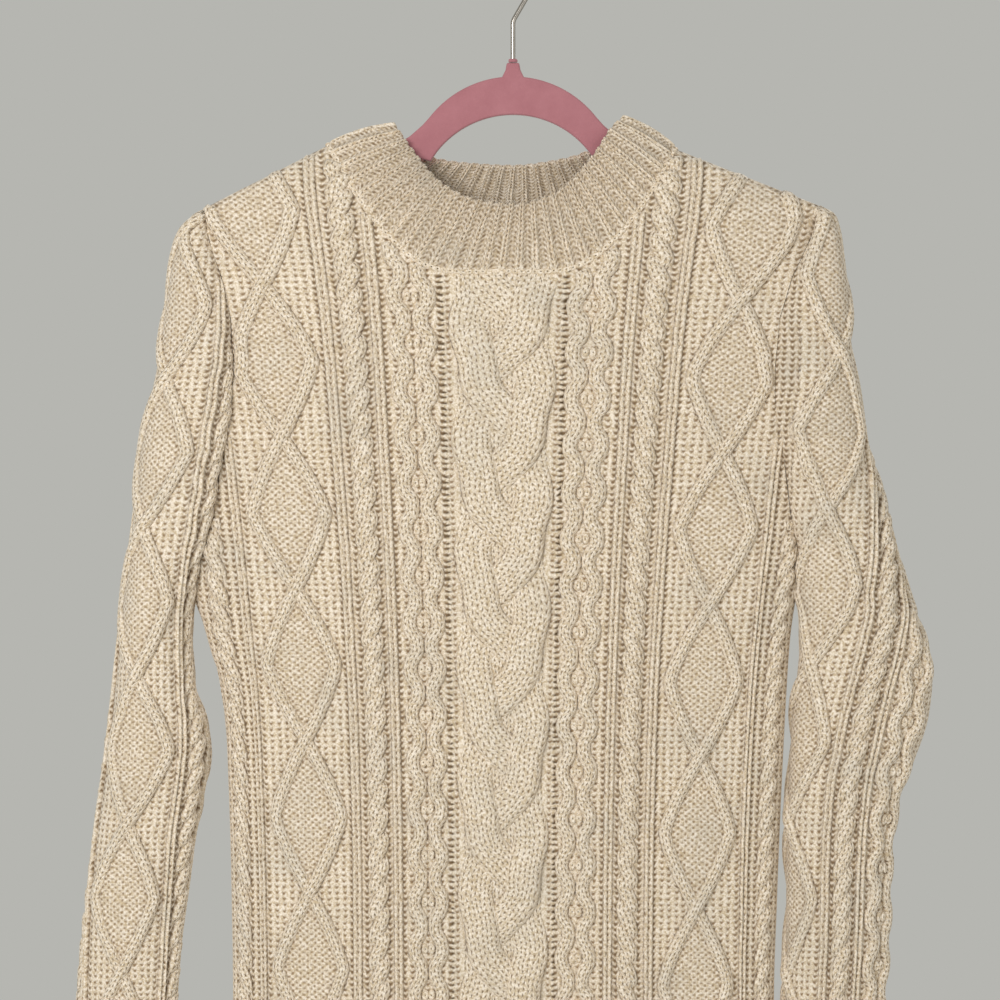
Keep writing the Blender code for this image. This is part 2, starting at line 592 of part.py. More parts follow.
def make_panel(name, body, finish):
    """One knitted panel with its ribbed hem."""
    mesh = Mesh()
    low, high = HEM_RIB + 12.0, LENGTH - DEPTHS[0].drop
    plait = next(c for c in BODY_COLUMNS if c.kind == "plait")
    halves = {side: body_lines(body, side, low, high) for side in (LEFT, RIGHT)}
    middle = straight(0.0, beats(plait, np.arange(8) / 8, low, high))
    plan = [*reversed(halves[LEFT]), middle, *halves[RIGHT]]
    last = len(plan) - 1
    centre = last // 2
    side_line = {LEFT: UPPER_NODE, RIGHT: last - UPPER_NODE}
    upper = LENGTH - ARMHOLE[UPPER_NODE].drop
    neck = {}
    for side in (LEFT, RIGHT):
        edge = side * body.edge(side, LENGTH - SHOULDERS[side].neck_drop)
        places = [float(line.path(np.float64(LENGTH - 60))) for line in plan]
        neck[side] = int(np.argmin([abs(place - edge) for place in places]))

    # The outer face follows the cables
    lines, outer = [], []
    for index, line in enumerate(plan):
        side = LEFT if index < centre else RIGHT
        beyond = abs(index - centre) - (centre - UPPER_NODE)
        end, rim, rows = None, RIM_STEPS, line.rows
        if beyond > 0:
            top, rim = LENGTH - ARMHOLE[UPPER_NODE - beyond].drop, RIM_STEPS[2:]
            end = side * float(body.armhole(side, top))
        elif beyond == 0:
            top, rim = LENGTH - SHOULDERS[side].tip_drop, ()
            end = side * float(body.edge(side, top))
            nodes = [LENGTH - node.drop for node in ARMHOLE[UPPER_NODE:]]
            rows = np.array([r for r in rows if r < nodes[0] - 15] + nodes)
        elif index in neck.values():
            top = LENGTH - SHOULDERS[side].neck_drop
            end = side * float(body.edge(side, top))
        else:
            def inside(rise, path=line.path):
                across = float(path(np.float64(rise)))
                within = abs(across) <= float(body.edge(LEFT if across < 0 else RIGHT, rise))
                return within and LENGTH - rise >= float(body.neckline(across, rise))

            top = crossing(inside, LENGTH - 140.0, high)
        rows = spaced(rows, top, rim)
        across = line.path(rows)
        height = relief(BODY_COLUMNS, across, rows, body.limit(rows))
        if abs(index - centre) == centre:
            height[:] = 0
        if beyond == 0:
            height[rows > upper - 1] = 0
        hem = np.array([0.0, HEM_RIB - 4])
        hem_across = side * body.edge(side, hem) * abs(index / centre - 1)
        end = float(line.path(np.float64(top))) if end is None else end
        lines.append(Line(
            np.concatenate([hem_across, across, [end]]),
            np.concatenate([hem, rows, [top]]),
            np.concatenate([np.full(2, RIB_HEIGHT * (index % 2)), height, [0]]),
        ))
        outer.append(mesh.add(body.at(*lines[-1])))
    for k in range(last):
        pair = [(outer[k], lines[k].rise), (outer[k + 1], lines[k + 1].rise)]
        for place, index in enumerate((k, k + 1)):
            outside = index == side_line[LEFT] and place == 1 or index == side_line[RIGHT] and place == 0
            if outside:
                kept = lines[index].rise < upper + 1
                pair[place] = (np.array(outer[index])[kept].tolist(), lines[index].rise[kept])
        mesh.patch(*pair[0], *pair[1])

    # The inner face is plain, on a few of the lines
    inner, inner_rise = [], []
    kept = [
        k for k in range(last + 1)
        if (k - centre) % 4 == 0 or min(k, last - k) in (0, 1, 3)
        or side_line[LEFT] <= k <= neck[LEFT] or neck[RIGHT] <= k <= side_line[RIGHT]
    ]
    for index, line in enumerate(lines):
        top = line.rise[-1]
        rise = [r for r in BODY_INNER_ROWS if r < top - 12] + [top]
        if index in side_line.values():
            rise = [r for r in BODY_INNER_ROWS if r < upper - 12] + list(line.rise[line.rise > upper - 1])
        elif side_line[LEFT] < index < side_line[RIGHT]:
            rise = [*spaced(BODY_INNER_ROWS, top, RIM_STEPS[1:]), top]
        if index not in kept:
            rise = [0, top]
        rise = np.array(rise)
        across = np.interp(rise, line.rise, line.across)
        if index in (0, last):
            across = np.sign(index - centre) * body.edge(LEFT if index == 0 else RIGHT, rise)
        inner.append(mesh.add(body.at(across, rise, np.full(len(rise), -WALL))))
        inner_rise.append(rise)
    for a, b in zip(kept[:-1], kept[1:]):
        line_a, line_b = (inner[a], inner_rise[a]), (inner[b], inner_rise[b])
        if a == side_line[RIGHT]:
            below = inner_rise[a] < upper + 1
            line_a = (np.array(inner[a])[below].tolist(), inner_rise[a][below])
        if b == side_line[LEFT]:
            below = inner_rise[b] < upper + 1
            line_b = (np.array(inner[b])[below].tolist(), inner_rise[b][below])
        between = range(a + 1, b)
        mesh.patch(*line_a, *line_b, [inner[k][0] for k in between], [inner[k][-1] for k in between])

    # The rims: hem, sides, armholes, then shoulders and neckline
    mesh.strip([line[0] for line in outer], [line[0] for line in inner])
    for edge, line in ((0, side_line[LEFT]), (last, side_line[RIGHT])):
        mesh.zip(outer[edge], lines[edge].rise, inner[edge], inner_rise[edge])
        hole = range(edge, line, 1 if edge == 0 else -1)
        out_hole = [outer[k][-1] for k in hole]
        in_hole = [inner[k][-1] for k in hole]
        out_hole += [v for v, r in zip(outer[line], lines[line].rise) if r > upper - 1]
        in_hole += [v for v, r in zip(inner[line], inner_rise[line]) if r > upper - 1]
        mesh.strip(out_hole, in_hole)
    span = range(side_line[LEFT], side_line[RIGHT] + 1)
    mesh.strip([outer[k][-1] for k in span], [inner[k][-1] for k in span])
    mesh.object(name, finish)
    return [(lines[k].across[-1], lines[k].rise[-1]) for k in range(neck[LEFT], neck[RIGHT] + 1)]


class Loop:
    """A closed seam: its points in order, and where the next piece's wall starts."""

    def __init__(self, points, normals, towards, closed_ends):
        """closed_ends are the places where the front and the back meet."""
        ahead = np.roll(points, -1, axis=0) - points
        behind = points - np.roll(points, 1, axis=0)
        tangent = unit(unit(ahead) + unit(behind))
        for place in closed_ends:
            tangent[place] = (0, 1, 0)
        away = unit(np.cross(tangent, normals))
        away *= np.sign(np.sum(away * towards, axis=1))[:, None]
        gap = np.full((len(points), 1), SEAM_GAP)
        for place in closed_ends:
            gap[[place - 1, place, (place + 1) % len(points)]] = CORNER_GAP
        self.outer = points + away * gap
        self.normals = normals
        self.inner = self.outer - normals * WALL

    def between(self, k, share):
        """The outer and inner points on the straight part after point k."""
        n = (k + 1) % len(self.outer)
        return tuple(own[k] + (own[n] - own[k]) * share for own in (self.outer, self.inner))


def armhole_loop(side, front, back):
    """The armhole from the shoulder's tip down the front and up the back."""
    drops = [node.drop for node in ARMHOLE]
    points, normals = [], []
    for body in (front, back):
        rise = LENGTH - np.array(drops[::-1] if body is front else drops[1:])
        across = side * body.armhole(side, rise)
        flat = body.at(across, rise)
        points.append(flat)
        normals.append(unit(body.at(across, rise, np.ones(len(rise))) - flat))
    tip_rise = np.array([LENGTH - SHOULDERS[side].tip_drop])
    tip_across = side * front.edge(side, tip_rise)
    tip = front.at(tip_across, tip_rise)
    tip_normal = unit(front.at(tip_across, tip_rise, np.ones(1)) - tip)
    points = np.concatenate([tip, *points])
    normals = np.concatenate([tip_normal, *normals])
    underarm = len(drops)
    for place in (0, underarm):
        points[place, 1] = 0
        normals[place, 1] = 0
    towards = np.tile((side, 0, 0), (len(points), 1)).astype(float)
    loop = Loop(points, unit(normals), towards, (0, underarm))
    loop.outer[underarm] = points[underarm] + (side * SEAM_GAP, 0, 0)
    return loop, underarm


class Sleeve:
    """A sleeve, read by stitch columns from its middle diamond and rise above its end."""

    def __init__(self, side, front, back):
        self.side = side
        self.loop, self.underarm = armhole_loop(side, front, back)
        self.tip = SHOULDERS[side].tip_drop
        self.drops = np.linspace(self.tip, SLEEVE_END, 212)
        turns = SLEEVE_TURNS[side]
        outer = smooth(SLEEVE_OUTER[side], "across", self.drops)
        inner = smooth(SLEEVE_INNER[side], "across", self.drops)
        loop_drop = SHOULDER_Z - self.loop.outer[:, 2]
        halves = {
            FRONT: slice(0, self.underarm + 1),
            BACK: np.r_[0, len(loop_drop) - 1:self.underarm - 1:-1],
        }
        rows = {FRONT: [], BACK: []}
        self.girth = {FRONT: [], BACK: []}
        self.spine, self.spread = [], []
        share = np.linspace(0, 1, 61)
        for drop, wide, near in zip(self.drops, outer, inner):
            depth = float(smooth(turns, "depth", drop))
            wide = max(wide - EDGE_RELIEF * min(1, (drop - self.tip) / 60), 0)
            for face in (FRONT, BACK):
                part = halves[face]
                end, end_y = near + EDGE_RELIEF * min(1, max(0, (drop - UNDERARM) / 40)), 0.0
                if drop < UNDERARM:
                    end = side * (np.interp(drop, loop_drop[part], self.loop.outer[part, 0]) - CENTRE_X)
                    end_y = abs(np.interp(drop, loop_drop[part], self.loop.outer[part, 1]))
                deep = max(depth, end_y / 0.97, 0.01)
                past = (end_y / deep) ** (SLEEVE_POWER / 2)
                back_share = math.sqrt(1 - past ** 2) ** (2 / SLEEVE_POWER)
                half = max((wide - end) / (1 + back_share), 0.01)
                angle = np.linspace(0, math.pi - math.asin(past), 121)
                cosine = np.cos(angle)
                x = wide - half + half * np.sign(cosine) * np.abs(cosine) ** (2 / SLEEVE_POWER)
                y = deep * np.sin(angle) ** (2 / SLEEVE_POWER)
                x[-1], y[-1] = end, end_y
                arc = np.concatenate([[0], np.cumsum(np.hypot(np.diff(x), np.diff(y)))])
                rows[face].append(np.stack([
                    CENTRE_X + side * np.interp(share * arc[-1], arc, x),
                    face * np.interp(share * arc[-1], arc, y),
                    np.full(len(share), SHOULDER_Z - drop),
                ], axis=1))
                self.girth[face].append(arc[-1])
                if face == FRONT:
                    turn = math.radians(float(smooth(turns, "turn", drop)))
                    self.spine.append(np.interp(min(turn, 0.93 * angle[-1]), angle, arc))
            self.spread.append(float(smooth(turns, "spread", drop)))
        points = np.concatenate([np.array(rows[BACK])[:, ::-1], np.array(rows[FRONT])[:, 1:]], axis=1)
        self.grid = Grid(points, (side, 0, 0), (len(self.drops) // 2, len(share) - 1))
        self.turn_rim(loop_drop)
        self.settle_normals(loop_drop, halves)
        self.girth = {face: np.array(girth) for face, girth in self.girth.items()}
        self.spine, self.spread = np.array(self.spine), np.array(self.spread)
        self.half = (self.girth[FRONT] + self.girth[BACK]) / 2
        room = self.read(self.girth[FRONT], UNDERARM) - self.read(self.spine, UNDERARM)
        self.under = float(self.stitches(room, UNDERARM))

    def turn_rim(self, loop_drop):
        """Turn the rim's wall half way from the body's to the sleeve's own."""
        row = np.searchsorted(self.drops, loop_drop)
        for k in range(1, len(loop_drop)):
            own = self.grid.normals[row[k], -4 if k < self.underarm else 3]
            if k == self.underarm:
                own = np.array((-self.side, 0, -1.0))
            self.loop.normals[k] = unit(own + self.loop.normals[k] * (k != self.underarm))
        self.loop.inner = self.loop.outer - self.loop.normals * WALL

    def settle_normals(self, loop_drop, halves):
        """Make the normals meet at the inner edge, and match the body's along the armhole."""
        normals = self.grid.normals
        closed = self.drops >= UNDERARM
        for place in (0, -1):
            normals[closed, place] = (-self.side, 0, 0)
        for face, place in ((FRONT, -1), (BACK, 0)):
            part = halves[face]
            for axis in range(3):
                value = np.interp(self.drops[~closed], loop_drop[part], self.loop.normals[part, axis])
                normals[~closed, place, axis] = value
        normals[0] = self.loop.normals[0]
        self.grid.normals = unit(normals)

    def read(self, values, drop):
        return np.interp(drop, self.drops, values)

    def spreads(self, drop):
        """How far the middle columns and the others spread from their even width."""
        near = self.read(self.spread, drop)
        half = self.read(self.half, np.maximum(drop, UNDERARM))
        return near, np.minimum(near, (half - SLEEVE_MIDDLE * near) / (SLEEVE_ACROSS - SLEEVE_MIDDLE))

    def stitches(self, length, drop):
        """How many nominal millimetres of stitches fit a length from the middle diamond."""
        near, far = self.spreads(drop)
        past = np.maximum(length - SLEEVE_MIDDLE * near, 0)
        return np.minimum(length / near, SLEEVE_MIDDLE) + past / far

    def turned(self, across, rise):
        """How far round from the outer edge a stitch lies, as a share of the front or back."""
        drop = SLEEVE_END - rise
        near, far = self.spreads(drop)
        close = np.minimum(np.abs(across), SLEEVE_MIDDLE)
        aside = np.sign(across) * (near * close + far * (np.abs(across) - close))
        round_it = self.read(self.spine, drop) + aside
        past = np.where(
            drop > UNDERARM, round_it > self.read(self.girth[FRONT], drop), across > self.under + 1e-6
        )
        girth = 2 * self.read(self.half, np.maximum(drop, UNDERARM))
        round_it = np.where(past, round_it - girth, round_it)
        face = np.where(round_it > 0, self.read(self.girth[FRONT], drop), self.read(self.girth[BACK], drop))
        return round_it / face

    def at(self, across, rise, height=0.0):
        across, rise = np.asarray(across, float), np.asarray(rise, float)
        columns = self.grid.points.shape[1]
        column = (self.turned(across, rise) + 1) / 2 * (columns - 1)
        drop = SLEEVE_END - rise
        row = (drop - self.drops[0]) / (self.drops[1] - self.drops[0])
        return self.grid.at(row, column, height)

    def folds(self, points):
        """Height of the soft folds that bunch beside the armhole."""
        across = (points[..., 0] - CENTRE_X) * self.side
        drop = SHOULDER_Z - points[..., 2]
        total = np.zeros(across.shape)
        for fold in FOLDS[self.side]:
            slope = math.radians(fold.slope)
            out, down = across - fold.across, drop - fold.drop
            along = out * math.cos(slope) + down * math.sin(slope)
            over = -out * math.sin(slope) + down * math.cos(slope)
            bump = np.exp(-(along / fold.length) ** 2 - (over / fold.width) ** 2)
            total = total + fold.height * bump
        return np.where(points[..., 1] < -4, total, 0)

    def seam_fade(self, across, rise):
        """0 along the armhole, where the piece must lie flat, to 1 a little way from it."""
        drop = SLEEVE_END - rise
        away = (1 - np.abs(self.turned(across, rise))) * self.read(self.half, drop)
        return np.clip(np.maximum(away / 14, (drop - UNDERARM) / 30), 0, 1)

    def closing(self, rise):
        """The line of stitches opposite the middle diamond."""
        drop = SLEEVE_END - rise
        return -self.stitches(self.read(self.half, np.maximum(drop, UNDERARM)), drop)


def merged(rows, extra):
    """Rows with the extra ones that aren't close to any of them."""
    return np.array(sorted([*rows, *(r for r in extra if np.min(np.abs(rows - r)) > 7)]))


def no_limit(rise):
    """A sleeve's diamond has room on both sides."""
    return np.full(np.shape(rise), 200.0)


def sleeve_lines(sleeve, side, low, high):
    """A sleeve's lines of points, in order round it from the line opposite the diamond."""
    plain = np.arange(low, high, PLAIN_STEP / 2)
    lines = [straight(k * place, plain) for place in SLEEVE_VALLEYS for k in (-1, 1)]
    for column in SLEEVE_COLUMNS[side]:
        lines += column_lines(column, no_limit, low, high, PLAIN_STEP / 2)
    wide = np.float64(WIDE_SLEEVE_RISE[side])
    lines = [line for line in lines if abs(float(line.path(wide)) - sleeve.under) > 4.5]
    drops = np.array([fold.drop for fold in FOLDS[side]])
    fold_rows = SLEEVE_END - np.concatenate([drops, (drops[1:] + drops[:-1]) / 2])
    lines = [
        Rise(line.path, merged(line.rows, fold_rows)) if 3 < line.path(wide) < sleeve.under else line
        for line in lines
    ]
    lines.append(straight(sleeve.under, plain))
    lines.sort(key=lambda line: float(line.path(wide)))
    return [Rise(sleeve.closing, plain), *lines]


def make_sleeve(name, side, sleeve, finish):
    """One knitted sleeve with its ribbed cuff."""
    mesh = Mesh()
    low, high = SLEEVE_RIB + 10.0, SLEEVE_END - sleeve.tip
    plan = sleeve_lines(sleeve, side, low, high)
    wide = np.float64(WIDE_SLEEVE_RISE[side])
    at_wide = np.array([float(line.path(wide)) for line in plan])
    under = 1 + int(np.argmin(abs(at_wide[1:] - sleeve.under)))
    middle = 1 + int(np.argmin(abs(at_wide[1:])))
    loop_rise = SLEEVE_END - (SHOULDER_Z - sleeve.loop.outer[:, 2])
    count = len(loop_rise)

    # Where each line meets the armhole, as a place round its loop of points
    tops, places = [], []
    for k, line in enumerate(plan):
        if k in (middle, under):
            place = 0.0 if k == middle else float(sleeve.underarm)
        else:
            def inside(rise, path=line.path):
                return abs(float(sleeve.turned(path(np.float64(rise)), np.float64(rise)))) <= 1

            top = crossing(inside, SLEEVE_END - UNDERARM + 0.3, high)
            part = np.arange(0, sleeve.underarm + 1)
            if not middle < k < under:
                part = np.arange(count, sleeve.underarm - 1, -1)
            place = float(np.interp(-top, -loop_rise[part % count], part.astype(float)))
            ends = [int(place) % count, (int(place) + 1) % count]
            step = abs(place - round(place)) * np.ptp(loop_rise[ends])
            place = (float(round(place)) if step < SNAP else place) % count
        whole, share = int(place), place - int(place)
        tops.append(loop_rise[whole] * (1 - share) + loop_rise[(whole + 1) % count] * share)
        places.append(place)
    rim_places = sorted(set(places) | {float(k) for k in range(count)})
    rim = {
        place: [mesh.add(p)[0] for p in sleeve.loop.between(int(place), place % 1)]
        for place in rim_places
    }

    def rim_between(a, b, layer):
        found, i = [], rim_places.index(places[a])
        while rim_places[i] != places[b]:
            i = (i + 1) % len(rim_places)
            found.append(rim[rim_places[i]][layer])
        return found[:-1]

    # The outer face follows the cables, and the inner face is plain on a few of the lines
    outer, outer_rise, inner, inner_rise = [], [], [], []
    kept = sorted({k for k in range(0, len(plan) - 1, 4)} | {under, middle})
    for k, line in enumerate(plan):
        rows = spaced(line.rows, tops[k], RIM_STEPS[1:])
        across = line.path(rows)
        height = relief(SLEEVE_COLUMNS[side], across, rows, no_limit(rows))
        height[rows > tops[k] - RIM_STEPS[1] - 1] *= 0.6
        height += sleeve.folds(sleeve.at(across, rows)) * np.clip((tops[k] - rows) / 12, 0, 1)
        height *= sleeve.seam_fade(across, rows)
        cuff = np.array([0.0, SLEEVE_RIB - 4])
        cuff_across = sleeve.closing(cuff) * (1 - 2 * k / len(plan))
        line_rise = np.concatenate([cuff, rows])
        points = sleeve.at(
            np.concatenate([cuff_across, across]), line_rise,
            np.concatenate([np.full(2, RIB_HEIGHT * (k % 2)), height]),
        )
        outer.append(mesh.add(points) + [rim[places[k]][0]])
        outer_rise.append(np.append(line_rise, tops[k]))
        rows = np.array([r for r in SLEEVE_INNER_ROWS if r < tops[k] - 12 and k in kept or r == 0], float)
        across = np.interp(rows, line_rise, np.concatenate([cuff_across, across]))
        inner.append(mesh.add(sleeve.at(across, rows, np.full(len(rows), -WALL))) + [rim[places[k]][1]])
        inner_rise.append(np.append(rows, tops[k]))
    for a in range(len(plan)):
        b = (a + 1) % len(plan)
        mesh.patch(outer[a], outer_rise[a], outer[b], outer_rise[b], high=rim_between(a, b, 0))
    for a, b in zip(kept, kept[1:] + kept[:1]):
        low_edge = [inner[k][0] for k in range(a + 1, b if b else len(plan))]
        mesh.patch(inner[a], inner_rise[a], inner[b], inner_rise[b], low_edge, rim_between(a, b, 1))
    cuff_out, cuff_in = ([line[0] for line in face] for face in (outer, inner))
    mesh.strip(cuff_out + cuff_out[:1], cuff_in + cuff_in[:1])
    # The armhole's rim, split into triangles the same way as the panels'
    down = [place for place in rim_places if place <= sleeve.underarm]
    up = [place for place in rim_places if place >= sleeve.underarm] + [rim_places[0]]
    for way in (down[::-1], up):
        mesh.strip(*([rim[place][layer] for place in way] for layer in (0, 1)))
    mesh.object(name, finish)


class Collar:
    """The ribbed mock neck, read by its place round the neckline and its share of the height."""

    def __init__(self, front, back, front_neck, back_neck):
        points, normals = [], []
        for body, neck in ((front, front_neck), (back, back_neck[-2:0:-1])):
            across, rise = np.array(neck).T
            flat = body.at(across, rise)
            points.append(flat)
            normals.append(unit(body.at(across, rise, np.ones(len(rise))) - flat))
        self.corner = len(front_neck) - 1
        points, normals = np.concatenate(points), np.concatenate(normals)
        for place in (0, self.corner):
            points[place, 1] = normals[place, 1] = 0
        middle = points.mean(axis=0) + (0, 0, 60)
        self.loop = Loop(points, unit(normals), middle - points, (0, self.corner))
        count = len(points)
        ring = self.loop.outer[np.arange(count + 1) % count]
        arc = np.concatenate([[0], np.cumsum(np.linalg.norm(np.diff(ring, axis=0), axis=1))])
        # A place runs from 0 to 1 along the front, then from 1 to 2 along the back
        self.places = np.where(
            arc <= arc[self.corner], arc / arc[self.corner],
            1 + (arc - arc[self.corner]) / (arc[-1] - arc[self.corner]),
        )
        place = np.linspace(-0.02, 2.02, 409)
        top = self.top(np.mod(place, 2))
        bottom = np.stack([np.interp(np.mod(place, 2), self.places, ring[:, i]) for i in range(3)], axis=1)
        share = np.linspace(0, 1, 13)[:, None, None]
        sheet = bottom + (top - bottom) * share
        flat = Grid(sheet, (0, -1, 0), (6, 104))
        sheet = sheet + flat.normals * COLLAR_BULGE * np.sin(math.pi * share)
        self.grid = Grid(sheet, (0, -1, 0), (6, 104))
        self.start, self.step = place[0], place[1] - place[0]

    def top(self, place):
        share = np.where(place <= 1, place, 2 - place)
        across, drop = (
            np.where(place <= 1, smooth(COLLAR_FRONT, name, share), smooth(COLLAR_BACK, name, share))
            for name in ("across", "drop")
        )
        half = (COLLAR_FRONT[-1].across - COLLAR_FRONT[0].across) / 2
        middle = (COLLAR_FRONT[-1].across + COLLAR_FRONT[0].across) / 2
        out = np.clip(1 - ((across - middle) / half) ** 2, 0, None) ** 0.45
        y = np.where(place <= 1, -COLLAR_DEPTH[FRONT], COLLAR_DEPTH[BACK]) * out
        return np.stack([CENTRE_X + across, y, SHOULDER_Z - drop], axis=-1)

    def at(self, place, share, height=0.0):
        place, share = np.asarray(place, float), np.asarray(share, float)
        return self.grid.at(share * 12, (np.mod(place, 2) - self.start) / self.step, height)


def make_collar(name, collar, finish):
    """The ribbed mock neck, picked up round the neckline."""
    mesh = Mesh()
    count = 2 * (COLLAR_RIBS[FRONT] + COLLAR_RIBS[BACK])
    half = 2 * COLLAR_RIBS[FRONT]
    places = [k / half if k < half else 1 + (k - half) / (count - half) for k in range(count)]
    for node in collar.places[:-1]:
        nearest = min(range(count), key=lambda k: abs(places[k] - node))
        places[nearest] = float(node)
    outer, inner, rims = [], [], []
    node_index = np.arange(len(collar.places))
    for k, place in enumerate(places):
        where = float(np.interp(place, collar.places, node_index))
        out_point, in_point = collar.loop.between(int(where) % (len(node_index) - 1), where % 1)
        shares = np.array(COLLAR_ROWS)
        crest = COLLAR_RIB * (k % 2)
        height = crest * np.array([1.0] * (len(shares) - 1) + [0.7])
        points = collar.at(np.full(len(shares), place), shares, height)
        outer.append(mesh.add(out_point) + mesh.add(points))
        shares = np.array(COLLAR_ROWS[:1] + COLLAR_ROWS[-1:]) if k % 4 == 0 else np.array(COLLAR_ROWS[-1:])
        points = collar.at(np.full(len(shares), place), shares, np.full(len(shares), -WALL))
        inner.append(mesh.add(in_point) + mesh.add(points))
    for a in range(count):
        b = (a + 1) % count
        mesh.strip(outer[a], outer[b])
    for a in range(0, count, 4):
        b = (a + 4) % count
        keys = (0.0, COLLAR_ROWS[0], 1.0)
        between = range(a + 1, a + 4)
        mesh.patch(
            inner[a], keys, inner[b], keys,
            [inner[k][0] for k in between], [inner[k][-1] for k in between],
        )
    for level in (0, -1):
        # Split into triangles from left to right, as the panels' edges are
        out_ring, in_ring = ([line[level] for line in face + face[:1]] for face in (outer, inner))
        mesh.strip(out_ring[:half + 1], in_ring[:half + 1])
        mesh.strip(out_ring[:half - 1:-1], in_ring[:half - 1:-1])
    mesh.object(name, finish)


def arc_points(centre, radius, start, stop, count):
    angle = np.radians(np.linspace(start, stop, count))
    return [(centre[0] + radius * math.cos(a), centre[1] + radius * math.sin(a)) for a in angle]


def hanger_edges():
    """Facing points of the hanger's upper and lower edges, left to right, as X and Z."""
    outer_centre = (0, ARCH_OUTER[0] - ARCH_OUTER[1])
    inner_centre = (0, ARCH_INNER[0] - ARCH_INNER[1])
    tip_radius = ARM_DEEP / 2
    slope = math.atan(ARM_SLOPE)
    along, across = (math.cos(slope), -math.sin(slope)), (-math.sin(slope), -math.cos(slope))
    top_end = (ARM_END - tip_radius, ARM_Z - ARM_SLOPE * (ARM_END - tip_radius - ARM_START))
    upper, lower = [], []
    # Right half, from the boss out to the arm's tip
    upper += [(0, BOSS_TOP), (BOSS_HALF - 1.6, BOSS_TOP), (BOSS_HALF, BOSS_TOP - 1.8)]
    lower += [(x, inner_centre[1] + math.sqrt(ARCH_INNER[1] ** 2 - x * x)) for x in (0, 2.0, 4.0)]
    foot = math.degrees(math.acos(BOSS_FOOT / ARCH_OUTER[1]))
    upper += arc_points(outer_centre, ARCH_OUTER[1], foot, 90 - ARCH_TURN, 9)
    lower += arc_points(inner_centre, ARCH_INNER[1], foot, 90 - ARCH_TURN, 9)
    leave = upper[-1]
    flare = [(leave[0] + 14, leave[1] - 13.5), (leave[0] + 28, leave[1] - 22)]
    upper += [*flare, (ARM_START, ARM_Z)]
    lower += [(flare[0][0] - 3, flare[0][1] - 15), (flare[1][0] - 2, flare[1][1] - 15.5)]
    lower += [(ARM_START - 5, ARM_Z - ARM_DEEP + 0.5)]
    for share in (0.33, 0.66, 1.0):
        point = [ARM_START + (top_end[0] - ARM_START) * share, ARM_Z + (top_end[1] - ARM_Z) * share]
        upper.append(tuple(point))
        lower.append((point[0] + across[0] * ARM_DEEP, point[1] + across[1] * ARM_DEEP))
    middle = ((upper[-1][0] + lower[-1][0]) / 2, (upper[-1][1] + lower[-1][1]) / 2)
    for turn in (30, 60):
        for edge, sign in ((upper, 1), (lower, -1)):
            angle = math.radians(90 - turn) * sign
            edge.append((
                middle[0] + tip_radius * (along[0] * math.cos(angle) - across[0] * math.sin(angle)),
                middle[1] + tip_radius * (along[1] * math.cos(angle) - across[1] * math.sin(angle)),
            ))
    mirror = [[(-x, z) for x, z in edge[:0:-1]] for edge in (upper, lower)]
    return mirror[0] + upper, mirror[1] + lower


def make_hanger(name, finish):
    """The hanger's one flat, round-edged piece: both arms, the arch and the boss."""
    upper, lower = (np.array(edge) for edge in hanger_edges())
    outline = np.concatenate([upper, lower[::-1]])
    ahead = unit(np.roll(outline, -1, axis=0) - outline)
    behind = unit(outline - np.roll(outline, 1, axis=0))
    tangent = unit(ahead + behind)
    inward = np.stack([tangent[:, 1], -tangent[:, 0]], axis=1)
    mesh = Mesh()
    half = len(upper)
    rings = []
    for y, inset in (
        (-PLATE / 2, PLATE_BEVEL), (-PLATE / 2 + PLATE_BEVEL, 0),
        (PLATE / 2 - PLATE_BEVEL, 0), (PLATE / 2, PLATE_BEVEL),
    ):
        ring = outline + inward * inset
        rings.append(mesh.add(np.stack([ring[:, 0], np.full(len(ring), y), ring[:, 1]], axis=1)))
    for a, b in zip(rings[:-1], rings[1:]):
        mesh.strip(a + a[:1], b + b[:1])
    for ring in (rings[0], rings[-1]):
        mesh.strip(ring[:half], ring[:half - 1:-1])
    mesh.object(name, finish)


def make_hook(name, finish):
    """The bent wire hook, with the ferrule that it turns on."""
    centre = (0, -LOOP_RADIUS + WIRE / 2)
    join = arc_points(centre, LOOP_RADIUS, -30, -30, 1)[0]
    bend_z = join[1] - join[0] / math.tan(math.radians(30))
    reach = BEND_RADIUS * math.tan(math.radians(15))
    path = [(0, BOSS_TOP + SEAM_GAP), (0, BOSS_TOP + 2.6), (0, BOSS_TOP + 2.6), (0, bend_z - reach)]
    radii = [FERRULE / 2, FERRULE / 2, WIRE / 2, WIRE / 2]
    path += arc_points((BEND_RADIUS, bend_z - reach), BEND_RADIUS, 172, 150, 3)
    loop = arc_points(centre, LOOP_RADIUS, -30, LOOP_END, 18)
    path += loop
    radii += [WIRE / 2] * (len(path) - len(radii))
    end = unit(np.array(path[-1]) - np.array(path[-2]))
    path += [tuple(np.array(path[-1]) + end * 1.2)]
    radii += [WIRE / 2 * 0.55]
    path = np.array(path)
    mesh = Mesh()
    rings = []
    for k, (point, radius) in enumerate(zip(path, radii)):
        tangent = unit(path[min(k + 1, len(path) - 1)] - path[max(k - 1, 0)])
        if k < 4:
            tangent = np.array([0.0, 1.0])
        side = np.array([tangent[1], -tangent[0]])
        angle = np.arange(WIRE_SIDES) * 2 * math.pi / WIRE_SIDES
        rings.append(mesh.add(np.stack([
            point[0] + radius * np.cos(angle) * side[0],
            radius * np.sin(angle),
            point[1] + radius * np.cos(angle) * side[1],
        ], axis=1)))
    for a, b in zip(rings[:-1], rings[1:]):
        mesh.strip(a + a[:1], b + b[:1])
    for ring in (rings[0], rings[-1]):
        for k in range(1, WIRE_SIDES - 1):
            mesh.face(ring[0], ring[k], ring[k + 1])
    mesh.object(name, finish)


